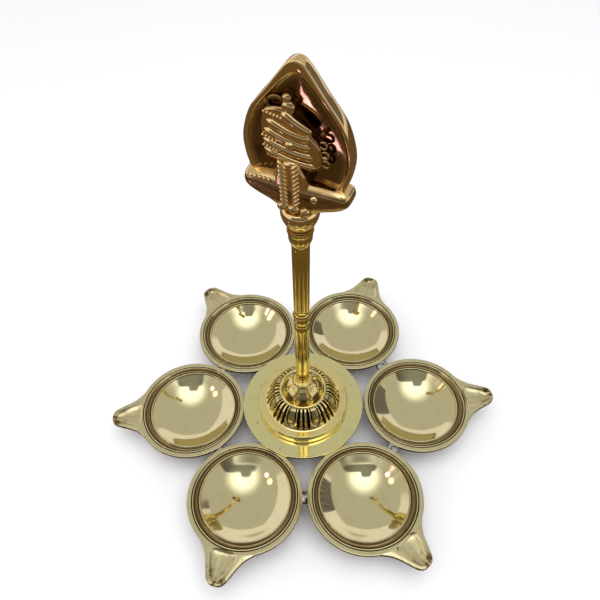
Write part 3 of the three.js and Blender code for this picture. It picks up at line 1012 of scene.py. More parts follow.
# ---- Cups --------------------------------------------------------------------------------
@dataclass
class Cup:
    """One turned cup with its cast spout. Sizes are in millimetres.

    The spout's top lies a hair (sink) under the flange's, so that the two join cleanly.
    """

    number: int
    flange_r: float = 26.7
    flange_inner_r: float = 24.7
    flange_t: float = 1.5
    height: float = 17.0
    outer_bead_r: float = 24.0
    outer_bead_half: float = 0.28
    inner_bead_r: float = 21.0
    inner_bead_half: float = 0.32
    inner_bead_drop: float = 0.45
    cove_depth: float = 1.15
    bowl_cap_r: float = 31.0
    bowl_cap_end: float = 17.4
    bowl_wall_end: float = 20.6
    bowl_floor: float = 8.2
    bowl_shift: float = 0.7
    foot_height: float = 6.4
    foot_r: float = 12.6
    foot_inner_r: float = 10.2
    spout_reach: float = 39.8
    spout_root_half: float = 12.8
    spout_t: float = 2.8
    trough_depth: float = 1.45
    sink: float = 0.012
    clearance: float = 0.1

    @property
    def node(self) -> str:
        """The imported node's name."""
        return f"diya_{self.number}"

    def place(self) -> Matrix:
        """Where the cup stands: its centre is its bowl's, and its tip is its farthest end."""
        opening = next(
            o for o in frame["record"]["physics"]["openings"] if o["name"] == f"bowl_{self.number}"
        )
        low, high = (np.array(corner) for corner in opening["box_m"])
        centre = (low + high) / 2
        flat = vertex_array(frame["nodes"][self.node])[:, :2] - centre[:2]
        reach = np.linalg.norm(flat, axis=1)
        tip = flat[reach > reach.max() - 0.2 * MM].mean(axis=0)
        turn = math.atan2(tip[1], tip[0])
        return Matrix.Translation((centre[0], centre[1], 0)) @ Matrix.Rotation(turn, 4, "Z")

    def profile(self) -> list[tuple[float, float]]:
        """Section of the turned cup from under its foot, round the flange, into the bowl."""
        top = self.height
        under = top - self.flange_t
        recess = self.foot_height
        outside = smooth_line(
            [(self.foot_r + 0.4, recess), (15.0, 7.5), (18.4, 9.4), (20.8, 11.6), (22.2, 13.6),
             (23.0, 15.1)],
            5,
        )
        crest = top - 0.05 - self.outer_bead_half
        outer_bead = arc((self.outer_bead_r, crest), self.outer_bead_half, -20, 205, 9)
        low_crest = top - self.inner_bead_drop - self.inner_bead_half
        inner_bead = arc((self.inner_bead_r, low_crest), self.inner_bead_half, -25, 175, 10)
        start = self.outer_bead_r - self.outer_bead_half - 0.03
        end = self.inner_bead_r + self.inner_bead_half + 0.03
        cove = []
        for share in np.linspace(0.04, 0.96, 16):
            level = crest + (low_crest - crest) * share
            sag = math.sin(math.pi * share ** 0.85) ** 0.75
            cove.append((start + (end - start) * share, level - self.cove_depth * sag))
        return in_metres(
            [(0.0, recess), (5.0, recess), (self.foot_inner_r - 0.9, recess),
             (self.foot_inner_r - 0.45, recess - 0.3), (self.foot_inner_r - 0.3, recess - 1.0),
             (self.foot_inner_r, 0.3), (self.foot_inner_r + 0.3, 0.0), (self.foot_r - 0.3, 0.0),
             (self.foot_r, 0.25), (self.foot_r + 0.1, 1.2), (self.foot_r + 0.25, 4.0)]
            + outside
            + [(23.3, under - 0.1), (23.6, under), (self.flange_r - 0.3, under)]
            + arc((self.flange_r - 0.25, under + 0.25), 0.25, -60, 0, 3)
            + arc((self.flange_r - 0.3, top - 0.3), 0.3, 0, 90, 5)
            + arc((self.flange_inner_r + 0.2, top - 0.2), 0.2, 90, 180, 4)
            + [(self.flange_inner_r - 0.05, top - 0.8), (self.flange_inner_r - 0.25, top - 1.0)]
            + outer_bead
            + cove
            + inner_bead
            + self.bowl_line()
        )

    def bowl_line(self) -> list[tuple[float, float]]:
        """Section of the bowl from its edge to its middle: a straight wall, then a round floor."""
        lowest, cap = self.bowl_floor, self.bowl_cap_r
        wall_foot = lowest + cap - math.sqrt(cap**2 - self.bowl_cap_end**2)
        slope = self.bowl_cap_end / math.sqrt(cap**2 - self.bowl_cap_end**2)
        wall = [
            (r, wall_foot + slope * (r - self.bowl_cap_end))
            for r in np.linspace(self.bowl_wall_end, self.bowl_cap_end, 5)[:-1]
        ]
        floor = [
            (r, lowest + cap - math.sqrt(cap**2 - r**2))
            for r in np.linspace(self.bowl_cap_end, 0, 30)
        ]
        return wall + floor

    def offset_bowl(self, cup: bpy.types.Object) -> None:
        """Slide the bowl a little away from the spout, which widens the cove on that side."""
        at = vertex_array(cup)
        radius = np.hypot(at[:, 0], at[:, 1]) / MM
        near = np.clip((self.outer_bead_r - radius) / (self.outer_bead_r - self.inner_bead_r), 0, 1)
        above = np.clip((at[:, 2] / MM - self.foot_height - 0.3) / 1.5, 0, 1)
        at[:, 0] -= near * above * self.bowl_shift * MM
        cup.data.vertices.foreach_set("co", at.astype(np.float32).ravel())

    def spout_outline(self) -> np.ndarray:
        """Outline of the spout, from inside the flange to its blunt tip."""
        root_x = math.sqrt(self.flange_r**2 - self.spout_root_half**2)
        flank = smooth_line(
            [(root_x, -self.spout_root_half), (26.6, -9.7), (30, -7.6), (35, -5.5), (37.6, -4.3),
             (39.1, -3.0), (self.spout_reach, -1.2), (self.spout_reach, 0.0)],
            8,
        )
        other = [(x, -y) for x, y in reversed(flank[:-1])]
        inner = [(21.7, self.spout_root_half - 2), (21.7, 2 - self.spout_root_half)]
        return resampled(flank + other + inner, 180) * MM

    def trough_outline(self) -> np.ndarray:
        """Outline of the trough, rounded at its root and narrow at its tip."""
        side = smooth_line(
            [(24.7, 0.0), (24.8, -2.9), (25.3, -5.0), (26.7, -6.1), (28.8, -5.85), (31.2, -5.05),
             (34.2, -4.0), (36.7, -2.9), (38.2, -1.6), (38.7, 0.0)],
            6,
        )
        other = [(x, -y) for x, y in reversed(side[1:-1])]
        return resampled(side + other, 150) * MM

    def trough(self) -> bpy.types.Object:
        """The rounded hollow that is cut along the spout."""
        outline = self.trough_outline()
        middle = np.array((31.5 * MM, 0.0))
        top = self.height
        rings = []
        for share, level in (
            (0.1, -1.0), (0.3, -0.97), (0.48, -0.88), (0.64, -0.73), (0.78, -0.54), (0.88, -0.35),
            (0.96, -0.14), (1.0, 0.0), (1.03, 0.08), (1.05, 1.0),
        ):
            flat = middle + (outline - middle) * np.array((1 - (1 - share) * 0.4, share))
            height = top + (level * self.trough_depth if level < 0 else level)
            rings.append(np.column_stack([flat, np.full(len(flat), height * MM)]))
        return lofted("trough", rings)

    def build(self) -> bpy.types.Object:
        """Turn the cup, join the spout to it and cut the trough.

        Returns:
            The finished cup in its place.
        """
        cup = LATHE.turn(f"cup_{self.number}", self.profile(), 180, CUP_BRASS)
        self.offset_bowl(cup)
        top = (self.height - self.sink) * MM
        under = (self.height - self.spout_t) * MM
        spout = pillow(
            "spout", self.spout_outline(),
            [(1.3 * MM, under), (0.6 * MM, under + 0.15 * MM), (0.2 * MM, under + 0.5 * MM),
             (0, under + 1.0 * MM), (0, top - 0.32 * MM), (0.08 * MM, top - 0.12 * MM),
             (0.3 * MM, top)],
        )
        clear_r = self.flange_inner_r + self.clearance
        inside = in_metres([(0, 1), (clear_r, 1), (clear_r, self.height + 3), (0, self.height + 3)])
        keep_clear = LATHE.turn("keep_clear", inside, 120, CUP_BRASS)
        combined(spout, keep_clear, "DIFFERENCE")
        combined(cup, spout, "UNION")
        combined(cup, self.trough(), "DIFFERENCE")
        return dress(cup, CUP_BRASS, "base", self.node, self.place(), self.recess)

    def recess(self, at: np.ndarray) -> np.ndarray:
        """Painted shade with tarnish in the narrow valley inside the flange and low in the cove."""
        radius = np.hypot(at[:, 0], at[:, 1]) / MM
        drop = self.height - at[:, 2] / MM
        valley = (radius > self.outer_bead_r) & (radius < self.flange_inner_r)
        # Painted shade, with tarnish, down in the valley inside the flange.
        sunk = np.where(valley, np.clip((drop - 0.35) / 0.3, 0, 1), 0.0)
        along = np.hypot(at[:, 0] + self.bowl_shift * MM, at[:, 1]) / MM
        # Painted shade, with tarnish, low in the cove.
        cove = (radius < self.outer_bead_r) & (along > self.inner_bead_r) & (drop < 3)
        return np.maximum(sunk, np.where(cove, np.clip((drop - 0.4) / 0.9, 0, 1) * 0.8, 0.0))


# ---- Plate and solder --------------------------------------------------------------------
@dataclass
class MirrorPlate:
    """The flat polished disc that the pedestal stands on."""

    edge: float = 0.3 * MM
    hole_r: float = 2.3 * MM

    def build(self) -> bpy.types.Object:
        """Turn the disc with rounded edges."""
        low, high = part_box("center_plate")
        radius = high.x
        top, bottom = high.z, low.z
        rim = radius - self.edge
        profile = [
            (self.hole_r, bottom), (rim * 0.5, bottom), (rim, bottom),
            *arc((rim, bottom + self.edge), self.edge, -70, 0, 4),
            *arc((rim, top - self.edge), self.edge, 0, 90, 6),
            (rim - 0.5 * MM, top), (rim * 0.7, top), (rim * 0.4, top), (self.hole_r, top),
            (self.hole_r, bottom),
        ]
        plate = LATHE.turn("mirror_plate", profile, 220, PLATE_BRASS)
        return dress(plate, PLATE_BRASS, "base", "center_plate")


@dataclass
class SolderLump:
    """A run of solder between two cups, or under the plate's edge."""

    node: str
    lumps: float = 0.16
    steps: int = 26
    rings: int = 18

    def build(self) -> bpy.types.Object:
        """Shape a lumpy blob inside the node's own box.

        Returns:
            The lump in its place.
        """
        at = vertex_array(frame["nodes"][self.node])
        centre = (at.min(axis=0) + at.max(axis=0)) / 2
        flat = at[:, :2] - centre[:2]
        spread, axes = np.linalg.eigh(np.cov(flat.T))
        long_way = axes[:, int(np.argmax(spread))]
        along = flat @ long_way
        across = flat @ np.array((-long_way[1], long_way[0]))
        half = np.array((np.ptp(along), np.ptp(across), np.ptp(at[:, 2]))) / 2
        seed = float(np.abs(centre).sum() * 900)
        rings = []
        for tilt in np.linspace(-math.pi / 2, math.pi / 2, self.rings)[1:-1]:
            ring = []
            for turn in np.linspace(0, 2 * math.pi, self.steps, endpoint=False):
                level = math.cos(tilt)
                unit = np.array((math.cos(turn) * level, math.sin(turn) * level, math.sin(tilt)))
                wave = math.sin(3 * unit[0] + seed) * math.sin(4 * unit[1] + 2 * seed)
                fine = math.sin(9 * unit[0] + 7 * unit[1] + seed) * 0.35
                swell = 1 - self.lumps * 0.6 + self.lumps * 0.6 * (wave + fine) / 1.35
                ring.append(unit * half * swell)
            rings.append(np.array(ring))
        lump = lofted(self.node + "_lump", rings)
        turn = math.atan2(long_way[1], long_way[0])
        place = Matrix.Translation(Vector(centre)) @ Matrix.Rotation(turn, 4, "Z")
        return dress(lump, SolderFinish(), "base", self.node, place, crease=70)


# ---- Pedestal and stem -------------------------------------------------------------------
@dataclass
class Pedestal:
    """Bell-shaped foot of the stem: band, fluted dome, bead ring and lobed boss (mm)."""

    bore_r: float = 2.3
    band_r: float = 22.4
    band_top: float = 4.8
    flute_r: float = 18.0
    ring_r: float = 11.6
    dome_top: float = 14.2
    neck_r: float = 4.3
    top: float = 22.5
    groups: int = 8
    rib_pitch: float = math.radians(8.8)
    groove_half: float = math.radians(2.6)
    panel_half: float = math.radians(7.6)
    border_share: float = 0.2
    arch_start: float = 0.42
    arch_length: float = 0.32
    groove_depth: float = 1.25
    panel_depth: float = 0.8
    lobe_depth: float = 1.15
    lobe_half: float = math.radians(7.5)
    boss_r: float = 9.6
    boss_dark_top: float = 4.6

    def _line(self) -> tuple[list[tuple[float, float]], dict[str, list[float]]]:
        """The section with the depth of each kind of cut at each point.

        Returns:
            The points in millimetres above the plate, and the cuts' depths.
        """
        line: list[tuple[float, float]] = []
        cuts: dict[str, list[float]] = {kind: [] for kind in LatheTree.CUTS}

        def add(points: Points, **values: Any) -> None:
            """Append points with one value of a cut for all of them, or one for each."""
            for kind, so_far in cuts.items():
                so_far += list(np.broadcast_to(values.get(kind, 0.0), len(points)))
            line.extend(points)

        base = 0.3
        add([(self.bore_r, base), (5.2, base), (5.2, self.dome_top - 3), (11.5, self.dome_top - 5),
             (15, self.band_top - 1.4), (self.band_r - 2.4, self.band_top - 2),
             (self.band_r - 2.4, base), (self.band_r - 0.6, base)])
        add(arc((self.band_r - 0.6, base + 0.6), 0.6, -60, 0, 4))
        add([(self.band_r, 2.0)])
        add(arc((self.band_r - 0.9, self.band_top - 1.5), 0.9, 0, 55, 5))
        add(arc((self.band_r - 0.75, self.band_top - 0.35), 0.35, 20, 90, 4))
        add([(20.8, self.band_top), (19.6, self.band_top - 0.05),
             (self.flute_r + 0.45, self.band_top - 0.1)])
        share = np.linspace(0, 1, 40)
        radius = self.flute_r + (self.ring_r + 0.25 - self.flute_r) * share
        rise = np.sin(share * math.pi / 2) ** 0.92
        height = self.band_top + 0.35 + (self.dome_top - self.band_top - 0.75) * rise
        ends = np.clip(share / 0.07, 0, 1) * np.clip((1 - share) / 0.06, 0, 1)
        arch = np.clip((self.arch_start - share) / self.arch_length, 0, None)
        add(list(zip(radius, height)), flutes=self.groove_depth * ends,
            panels=self.panel_depth * ends, arch=arch)
        add([(self.ring_r + 0.15, self.dome_top - 0.75)])
        add(arc((self.ring_r - 0.85, self.dome_top - 0.55), 0.85, -10, 190, 14))
        add([(self.ring_r - 1.8, self.dome_top - 0.75), (9.75, self.dome_top - 0.6)])
        boss = smooth_line(
            [(self.boss_r, self.dome_top - 0.1), (9.45, self.dome_top + 1.4),
             (8.5, self.dome_top + 3.7), (6.6, self.dome_top + 5.9), (5.0, self.dome_top + 7.1),
             (4.5, self.top - 0.5)],
            6,
        )
        place = np.linspace(0, 1, len(boss))
        add(boss, lobes=self.lobe_depth * np.sin(np.clip(place / 0.95, 0, 1) * math.pi) ** 0.6)
        add([(self.neck_r + 0.1, self.top - 0.1), (self.neck_r, self.top), (self.bore_r, self.top),
             (self.bore_r, base)])
        return line, cuts

    def build(self) -> bpy.types.Object:
        """Turn the pedestal with its flutes, panels and lobes.

        Returns:
            The pedestal in its place.
        """
        line, cuts = self._line()
        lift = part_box("center_plate")[1].z
        profile = [(r * MM, z * MM) for r, z in line]
        depths = {k: np.array(v) * (1 if k == "arch" else MM) for k, v in cuts.items()}
        piece = LATHE.turn(
            "pedestal_bell", profile, 720, PEDESTAL_BRASS, depths,
            Groups=float(self.groups), First_Group=-math.pi / 2, Rib_Pitch=self.rib_pitch,
            Groove_Half=self.groove_half, Panel_Half=self.panel_half,
            Border_Share=self.border_share, Lobe_Half=self.lobe_half,
        )
        place = Matrix.Translation((0, 0, lift))
        return dress(piece, PEDESTAL_BRASS, "base", "pedestal", place, self.recess, 60)

    def recess(self, at: np.ndarray) -> np.ndarray:
        """Painted shade and tarnish in the grooves and round the panels of the dome, and a painted
        dark reflection low on the boss's facets.
        """
        radius = np.hypot(at[:, 0], at[:, 1]) / MM
        height = at[:, 2] / MM
        angle = np.arctan2(at[:, 1], at[:, 0]) + math.pi / 2
        period = 2 * math.pi / self.groups
        off = np.abs((angle + period / 2) % period - period / 2)
        # Painted shade with tarnish in the grooves, round the panels and inside them.
        groove = np.maximum(
            1 - (off / self.groove_half) ** 2,
            1 - ((off - self.rib_pitch) / self.groove_half) ** 2,
        )
        share = (self.flute_r - radius) / (self.flute_r - self.ring_r)
        arch = np.clip((self.arch_start - share) / self.arch_length, 0, None)
        round_end = np.hypot((off - period / 2) / self.panel_half, arch)
        border = 1 - ((round_end - 1) / (self.border_share * 1.1)) ** 2
        inside = np.clip((1 - round_end) * 4, 0, 1) * 0.4
        # Painted dark reflection on the boss's facets, strongest low down.
        facet = np.clip(np.cos(angle * self.groups) * 1.5 + 0.6, 0, 1)
        low = np.clip((self.dome_top + self.boss_dark_top - height) / 1.6, 0, 1)
        on_boss = (height > self.dome_top) & (radius < self.boss_r + 0.1)
        boss = facet * (0.2 + 0.6 * low) * on_boss
        on_dome = (height > self.band_top + 0.2) & (height < self.dome_top - 0.4)
        on_dome &= radius > self.ring_r - 0.2
        dark = np.maximum(np.maximum(groove * 1.3, border * 1.1), inside)
        return np.where(on_dome, np.clip(dark, 0, 1), boss)


@dataclass
class TurnedPiece:
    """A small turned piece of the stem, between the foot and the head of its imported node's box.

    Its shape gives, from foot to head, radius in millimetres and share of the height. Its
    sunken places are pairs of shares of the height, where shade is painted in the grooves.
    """

    node: str
    body: str
    name: str
    shape: Points
    finish: BrassFinish = STEM_BRASS
    bore_r: float = 2.3 * MM
    sunken: Points = ()

    def build(self) -> bpy.types.Object:
        """Turn the piece.

        Returns:
            The piece in its place.
        """
        low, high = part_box(self.node)
        tall = high.z - low.z
        outside = [(r * MM, share * tall) for r, share in self.shape]
        profile = [(self.bore_r, 0.0), *outside, (self.bore_r, tall), (self.bore_r, 0.0)]
        piece = LATHE.turn(self.name, profile, 128, self.finish)
        place = Matrix.Translation((0, 0, low.z))
        return dress(piece, self.finish, self.body, self.node, place, self.recess, 50)

    def recess(self, at: np.ndarray) -> np.ndarray:
        """Painted shade with tarnish in the grooves between the given shares of the height."""
        tall = max(float(np.ptp(at[:, 2])), 1e-9)
        share = at[:, 2] / tall
        sunk = np.zeros(len(at))
        for start, end in self.sunken:
            sunk = np.maximum(sunk, ((share > start) & (share < end)) * 0.85)
        return sunk


def stem_shape(foot_r: float, head_r: float, tall_mm: float) -> list[tuple[float, float]]:
    """Outside of a stem with small rounded ends, as radius and share of height."""
    round_mm = 0.25
    edge = round_mm / tall_mm
    middle = [
        (foot_r + (head_r - foot_r) * t, edge + t * (1 - 2 * edge)) for t in np.linspace(0, 1, 14)
    ]
    return [(foot_r - round_mm, 0.0), *middle, (head_r - round_mm, 1.0)]


STEM_PIECES = (
    TurnedPiece(
        "stem_foot_ring", "stem_foot_ring", "foot_collar",
        [(4.0, 0.0), (4.25, 0.12), (4.3, 0.3), (4.15, 0.45), (3.7, 0.55), (3.7, 0.9), (3.5, 1.0)],
    ),
    TurnedPiece("lower_stem", "lower_stem", "lower_stem_tube", stem_shape(3.25, 3.25, 43.3)),
    TurnedPiece(
        "stem_ring", "stem_ring", "joint_ring",
        [(3.2, 0.0), (3.45, 0.03), (3.45, 0.1), (3.3, 0.13), (3.3, 0.17), (3.47, 0.2), (3.5, 0.6),
         (3.3, 0.64), (3.3, 0.68), (3.6, 0.72), (3.75, 0.79), (3.6, 0.88), (3.4, 0.93), (3.4, 0.97),
         (3.2, 1.0)],
        sunken=[(0.12, 0.18), (0.62, 0.7)],
    ),
    TurnedPiece("upper_stem", "upper_stem", "upper_stem_tube", stem_shape(3.25, 3.42, 41.0)),
    TurnedPiece(
        "finial_collar", "finial_collar", "flared_collar",
        [(3.3, 0.0), (3.42, 0.02), (3.7, 0.08), (4.1, 0.16), (4.35, 0.26), (4.45, 0.45),
         (4.5, 0.62), (4.55, 0.72), (4.75, 0.78), (4.9, 0.86), (4.88, 0.94), (4.7, 1.0)],
        sunken=[(0.69, 0.74)],
    ),
    TurnedPiece(
        "finial_knob", "finial", "bell_knob",
        [(4.3, 0.0), (4.6, 0.02), (4.75, 0.07), (4.6, 0.13), (4.9, 0.17), (5.4, 0.26), (6.05, 0.4),
         (6.55, 0.54), (6.85, 0.68), (6.9, 0.76), (6.75, 0.86), (6.35, 0.94), (5.6, 1.0)],
        FINIAL_BRONZE, sunken=[(0.1, 0.16)],
    ),
)


@dataclass
class RingBeads:
    """The row of tiny beads round the joint ring's head."""

    count: int = 22
    ring_r: float = 3.6 * MM
    bead: float = 0.3 * MM
    level_share: float = 0.79

    def build(self) -> bpy.types.Object:
        """Set the beads round the ring."""
        low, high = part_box("stem_ring")
        level = low.z + (high.z - low.z) * self.level_share
        turns = np.linspace(0, 2 * math.pi, 60, endpoint=False)
        path = self.ring_r * np.column_stack([np.cos(turns), np.sin(turns), np.zeros(len(turns))])
        path[:, 2] = level
        size = (self.bead * 1.3, self.bead, self.bead * 1.6)
        beads = BEADS.row("ring_beads", path, self.count, size, STEM_BRASS, closed=True)
        return dress(beads, STEM_BRASS, "stem_ring", "stem_ring", crease=80)


@dataclass
class Fastening:
    """Washer and hexagon nut under the plate."""

    bevel: float = 0.3 * MM
    bore_r: float = 2.3 * MM
    chamfer_share: float = 0.6
    margin: float = 0.1 * MM

    def build_washer(self) -> bpy.types.Object:
        """Turn the washer with soft edges."""
        low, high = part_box("base_washer")
        outer, tall = high.x, high.z - low.z
        profile = [
            (self.bore_r, 0.0), (outer - self.bevel, 0.0), (outer, self.bevel),
            (outer, tall - self.bevel), (outer - self.bevel, tall), (self.bore_r, tall),
            (self.bore_r, 0.0),
        ]
        washer = LATHE.turn("plate_washer", profile, 72, STEM_BRASS)
        place = Matrix.Translation((0, 0, low.z))
        return dress(washer, STEM_BRASS, "base_washer", "base_washer", place)

    def build_nut(self) -> bpy.types.Object:
        """Make the nut: a hexagon whose corners a cone has chamfered."""
        low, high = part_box("base_nut")
        corner_r, tall = high.x, high.z - low.z
        flat_r = corner_r * math.cos(math.pi / 6)
        sides = [
            (self.bore_r, 0.0), (corner_r, 0.0), (corner_r, tall), (self.bore_r, tall),
            (self.bore_r, 0.0),
        ]
        hexagon = LATHE.turn("hex_nut", sides, 6, STEM_BRASS)
        drop = (corner_r - flat_r) * self.chamfer_share
        inner, outer = self.bore_r - 1 * MM, corner_r + self.margin
        cone = [
            (inner, -self.margin), (flat_r, -self.margin), (flat_r, 0.0), (outer, drop),
            (outer, tall - drop), (flat_r, tall), (flat_r, tall + self.margin),
            (inner, tall + self.margin), (inner, -self.margin),
        ]
        envelope = LATHE.turn("envelope", cone, 72, STEM_BRASS)
        combined(hexagon, envelope, "INTERSECT")
        place = Matrix.Translation((0, 0, low.z))
        return dress(hexagon, STEM_BRASS, "base_nut", "base_nut", place, crease=20)


# ---- Leaf finial -------------------------------------------------------------------------
@dataclass(frozen=True)
class Knob:
    """A raised round or square-shouldered knob: its place, half width, rise and level (mm)."""

    across: float
    up: float
    half: float
    rise: float
    level: float
    power: int = 2

    def build(self) -> bpy.types.Object:
        """Make the knob. A power of 4 gives square shoulders, one of 2 a round knob."""
        shell = []
        for turn in np.linspace(0, 2 * math.pi, 26, endpoint=False):
            cosine, sine = math.cos(turn), math.sin(turn)
            blunt = (abs(cosine) ** self.power + abs(sine) ** self.power) ** (-1 / self.power)
            reach = self.half * blunt
            shell.append((self.across + reach * cosine, self.up + reach * sine))
        levels = [(0.3 * self.half, -0.5), (0, self.level - 1)]
        levels += [
            (inward * self.half, self.level + self.rise * share)
            for inward, share in ((0.12, 0.5), (0.45, 0.9), (0.8, 1.0))
        ]
        return pillow("knob", np.array(shell) * MM, in_metres(levels))


@dataclass(frozen=True)
class Row:
    """A row of beads on the leaf: its points, count and one bead's half sizes (mm)."""

    name: str
    points: tuple[tuple[float, float, float], ...]
    count: int
    size: tuple[float, float, float]
    slant: float = 0.0

    def build(self) -> bpy.types.Object:
        """Set the beads along the row."""
        size = tuple(half * MM for half in self.size)
        path = np.array(self.points) * MM
        return BEADS.row(self.name, path, self.count, size, FINIAL_BRONZE, self.slant)


BAR_SECTION = (
    (0.3, -3.2), (0.7, -3.15), (0.9, -2.9), (0.985, -2.2), (1.0, -1.4), (1.0, 0.6), (0.985, 1.7),
    (0.94, 2.8), (0.85, 3.8), (0.72, 4.55), (0.55, 5.0), (0.35, 5.2), (0.12, 5.2),
)
SCALLOPS = ((-4.0, 1.9), (0.0, 2.2), (4.0, 1.9))
SCALLOP_EDGE = ((0.2, 4.0), (0, 4.6), (0.2, 5.8), (0.7, 6.4), (1.2, 6.6))
RELIEF_BLOCKS = (
    (((-10.6, 155.2), (-3, 152.6), (5.4, 151.4), (8.6, 155.1), (7.6, 161.2), (1.4, 167.4),
      (-2.2, 171), (-6.8, 171.8), (-10.6, 169.8), (-11.8, 163)), 2.6),
    (((-6.4, 138.2), (3.6, 138.2), (4.2, 148.6), (-0.4, 154.6), (-6.4, 151.4)), 4.7),
)
BAND_STARTS = ((-9.7, 166.8), (-10.7, 163.4), (-11.1, 159.7), (-10.8, 156.1))
BAND_ENDS = ((4.6, 162.6), (5.0, 159.6), (5.9, 156.3), (6.9, 152.9))
KNOBS = (
    Knob(-1.6, 160.3, 1.4, 1.2, 3.5, power=4),
    Knob(-2.8, 175.0, 1.7, 1.2, 1.6),
    Knob(-2.4, 172.0, 2.4, 1.0, 1.9),
    Knob(7.0, 142.8, 1.5, 1.0, 5.0),
    Knob(9.4, 157.6, 0.9, 0.9, 1.8),
    Knob(8.3, 165.4, 1.0, 0.9, 1.2),
)
LOOPS = ((8.7, 162.0), (9.3, 158.6), (9.6, 155.4))
BRAID_BEAD = (0.72, 2.15, 1.0)
SMALL_BEAD = (0.5, 0.5, 0.75)
BEAD_ROWS = (
    Row("braid", ((-3.15, 138.6, 5.1), (-3.85, 153.2, 4.7)), 10, BRAID_BEAD, -0.8),
    Row("braid", ((0.75, 138.6, 5.1), (0.05, 153.2, 4.7)), 10, BRAID_BEAD, 0.8),
    Row("filigree", ((-10.0, 169.6, 2.5), (-4.4, 168.6, 2.7)), 6, SMALL_BEAD),
    Row("filigree", ((-10.6, 161.6, 2.9), (-6.0, 160.6, 3.1)), 5, SMALL_BEAD),
    Row("filigree", ((-10.4, 158.0, 2.9), (-6.0, 156.9, 3.1)), 5, SMALL_BEAD),
    Row("filigree", ((-9.4, 154.4, 2.4), (-4.6, 153.2, 2.6)), 5, SMALL_BEAD),
    Row("ear", ((-16.6, 145.6, 4.2), (-12.4, 146.0, 4.6), (-8.6, 146.0, 4.7)), 6, (0.6, 0.6, 0.7)),
)


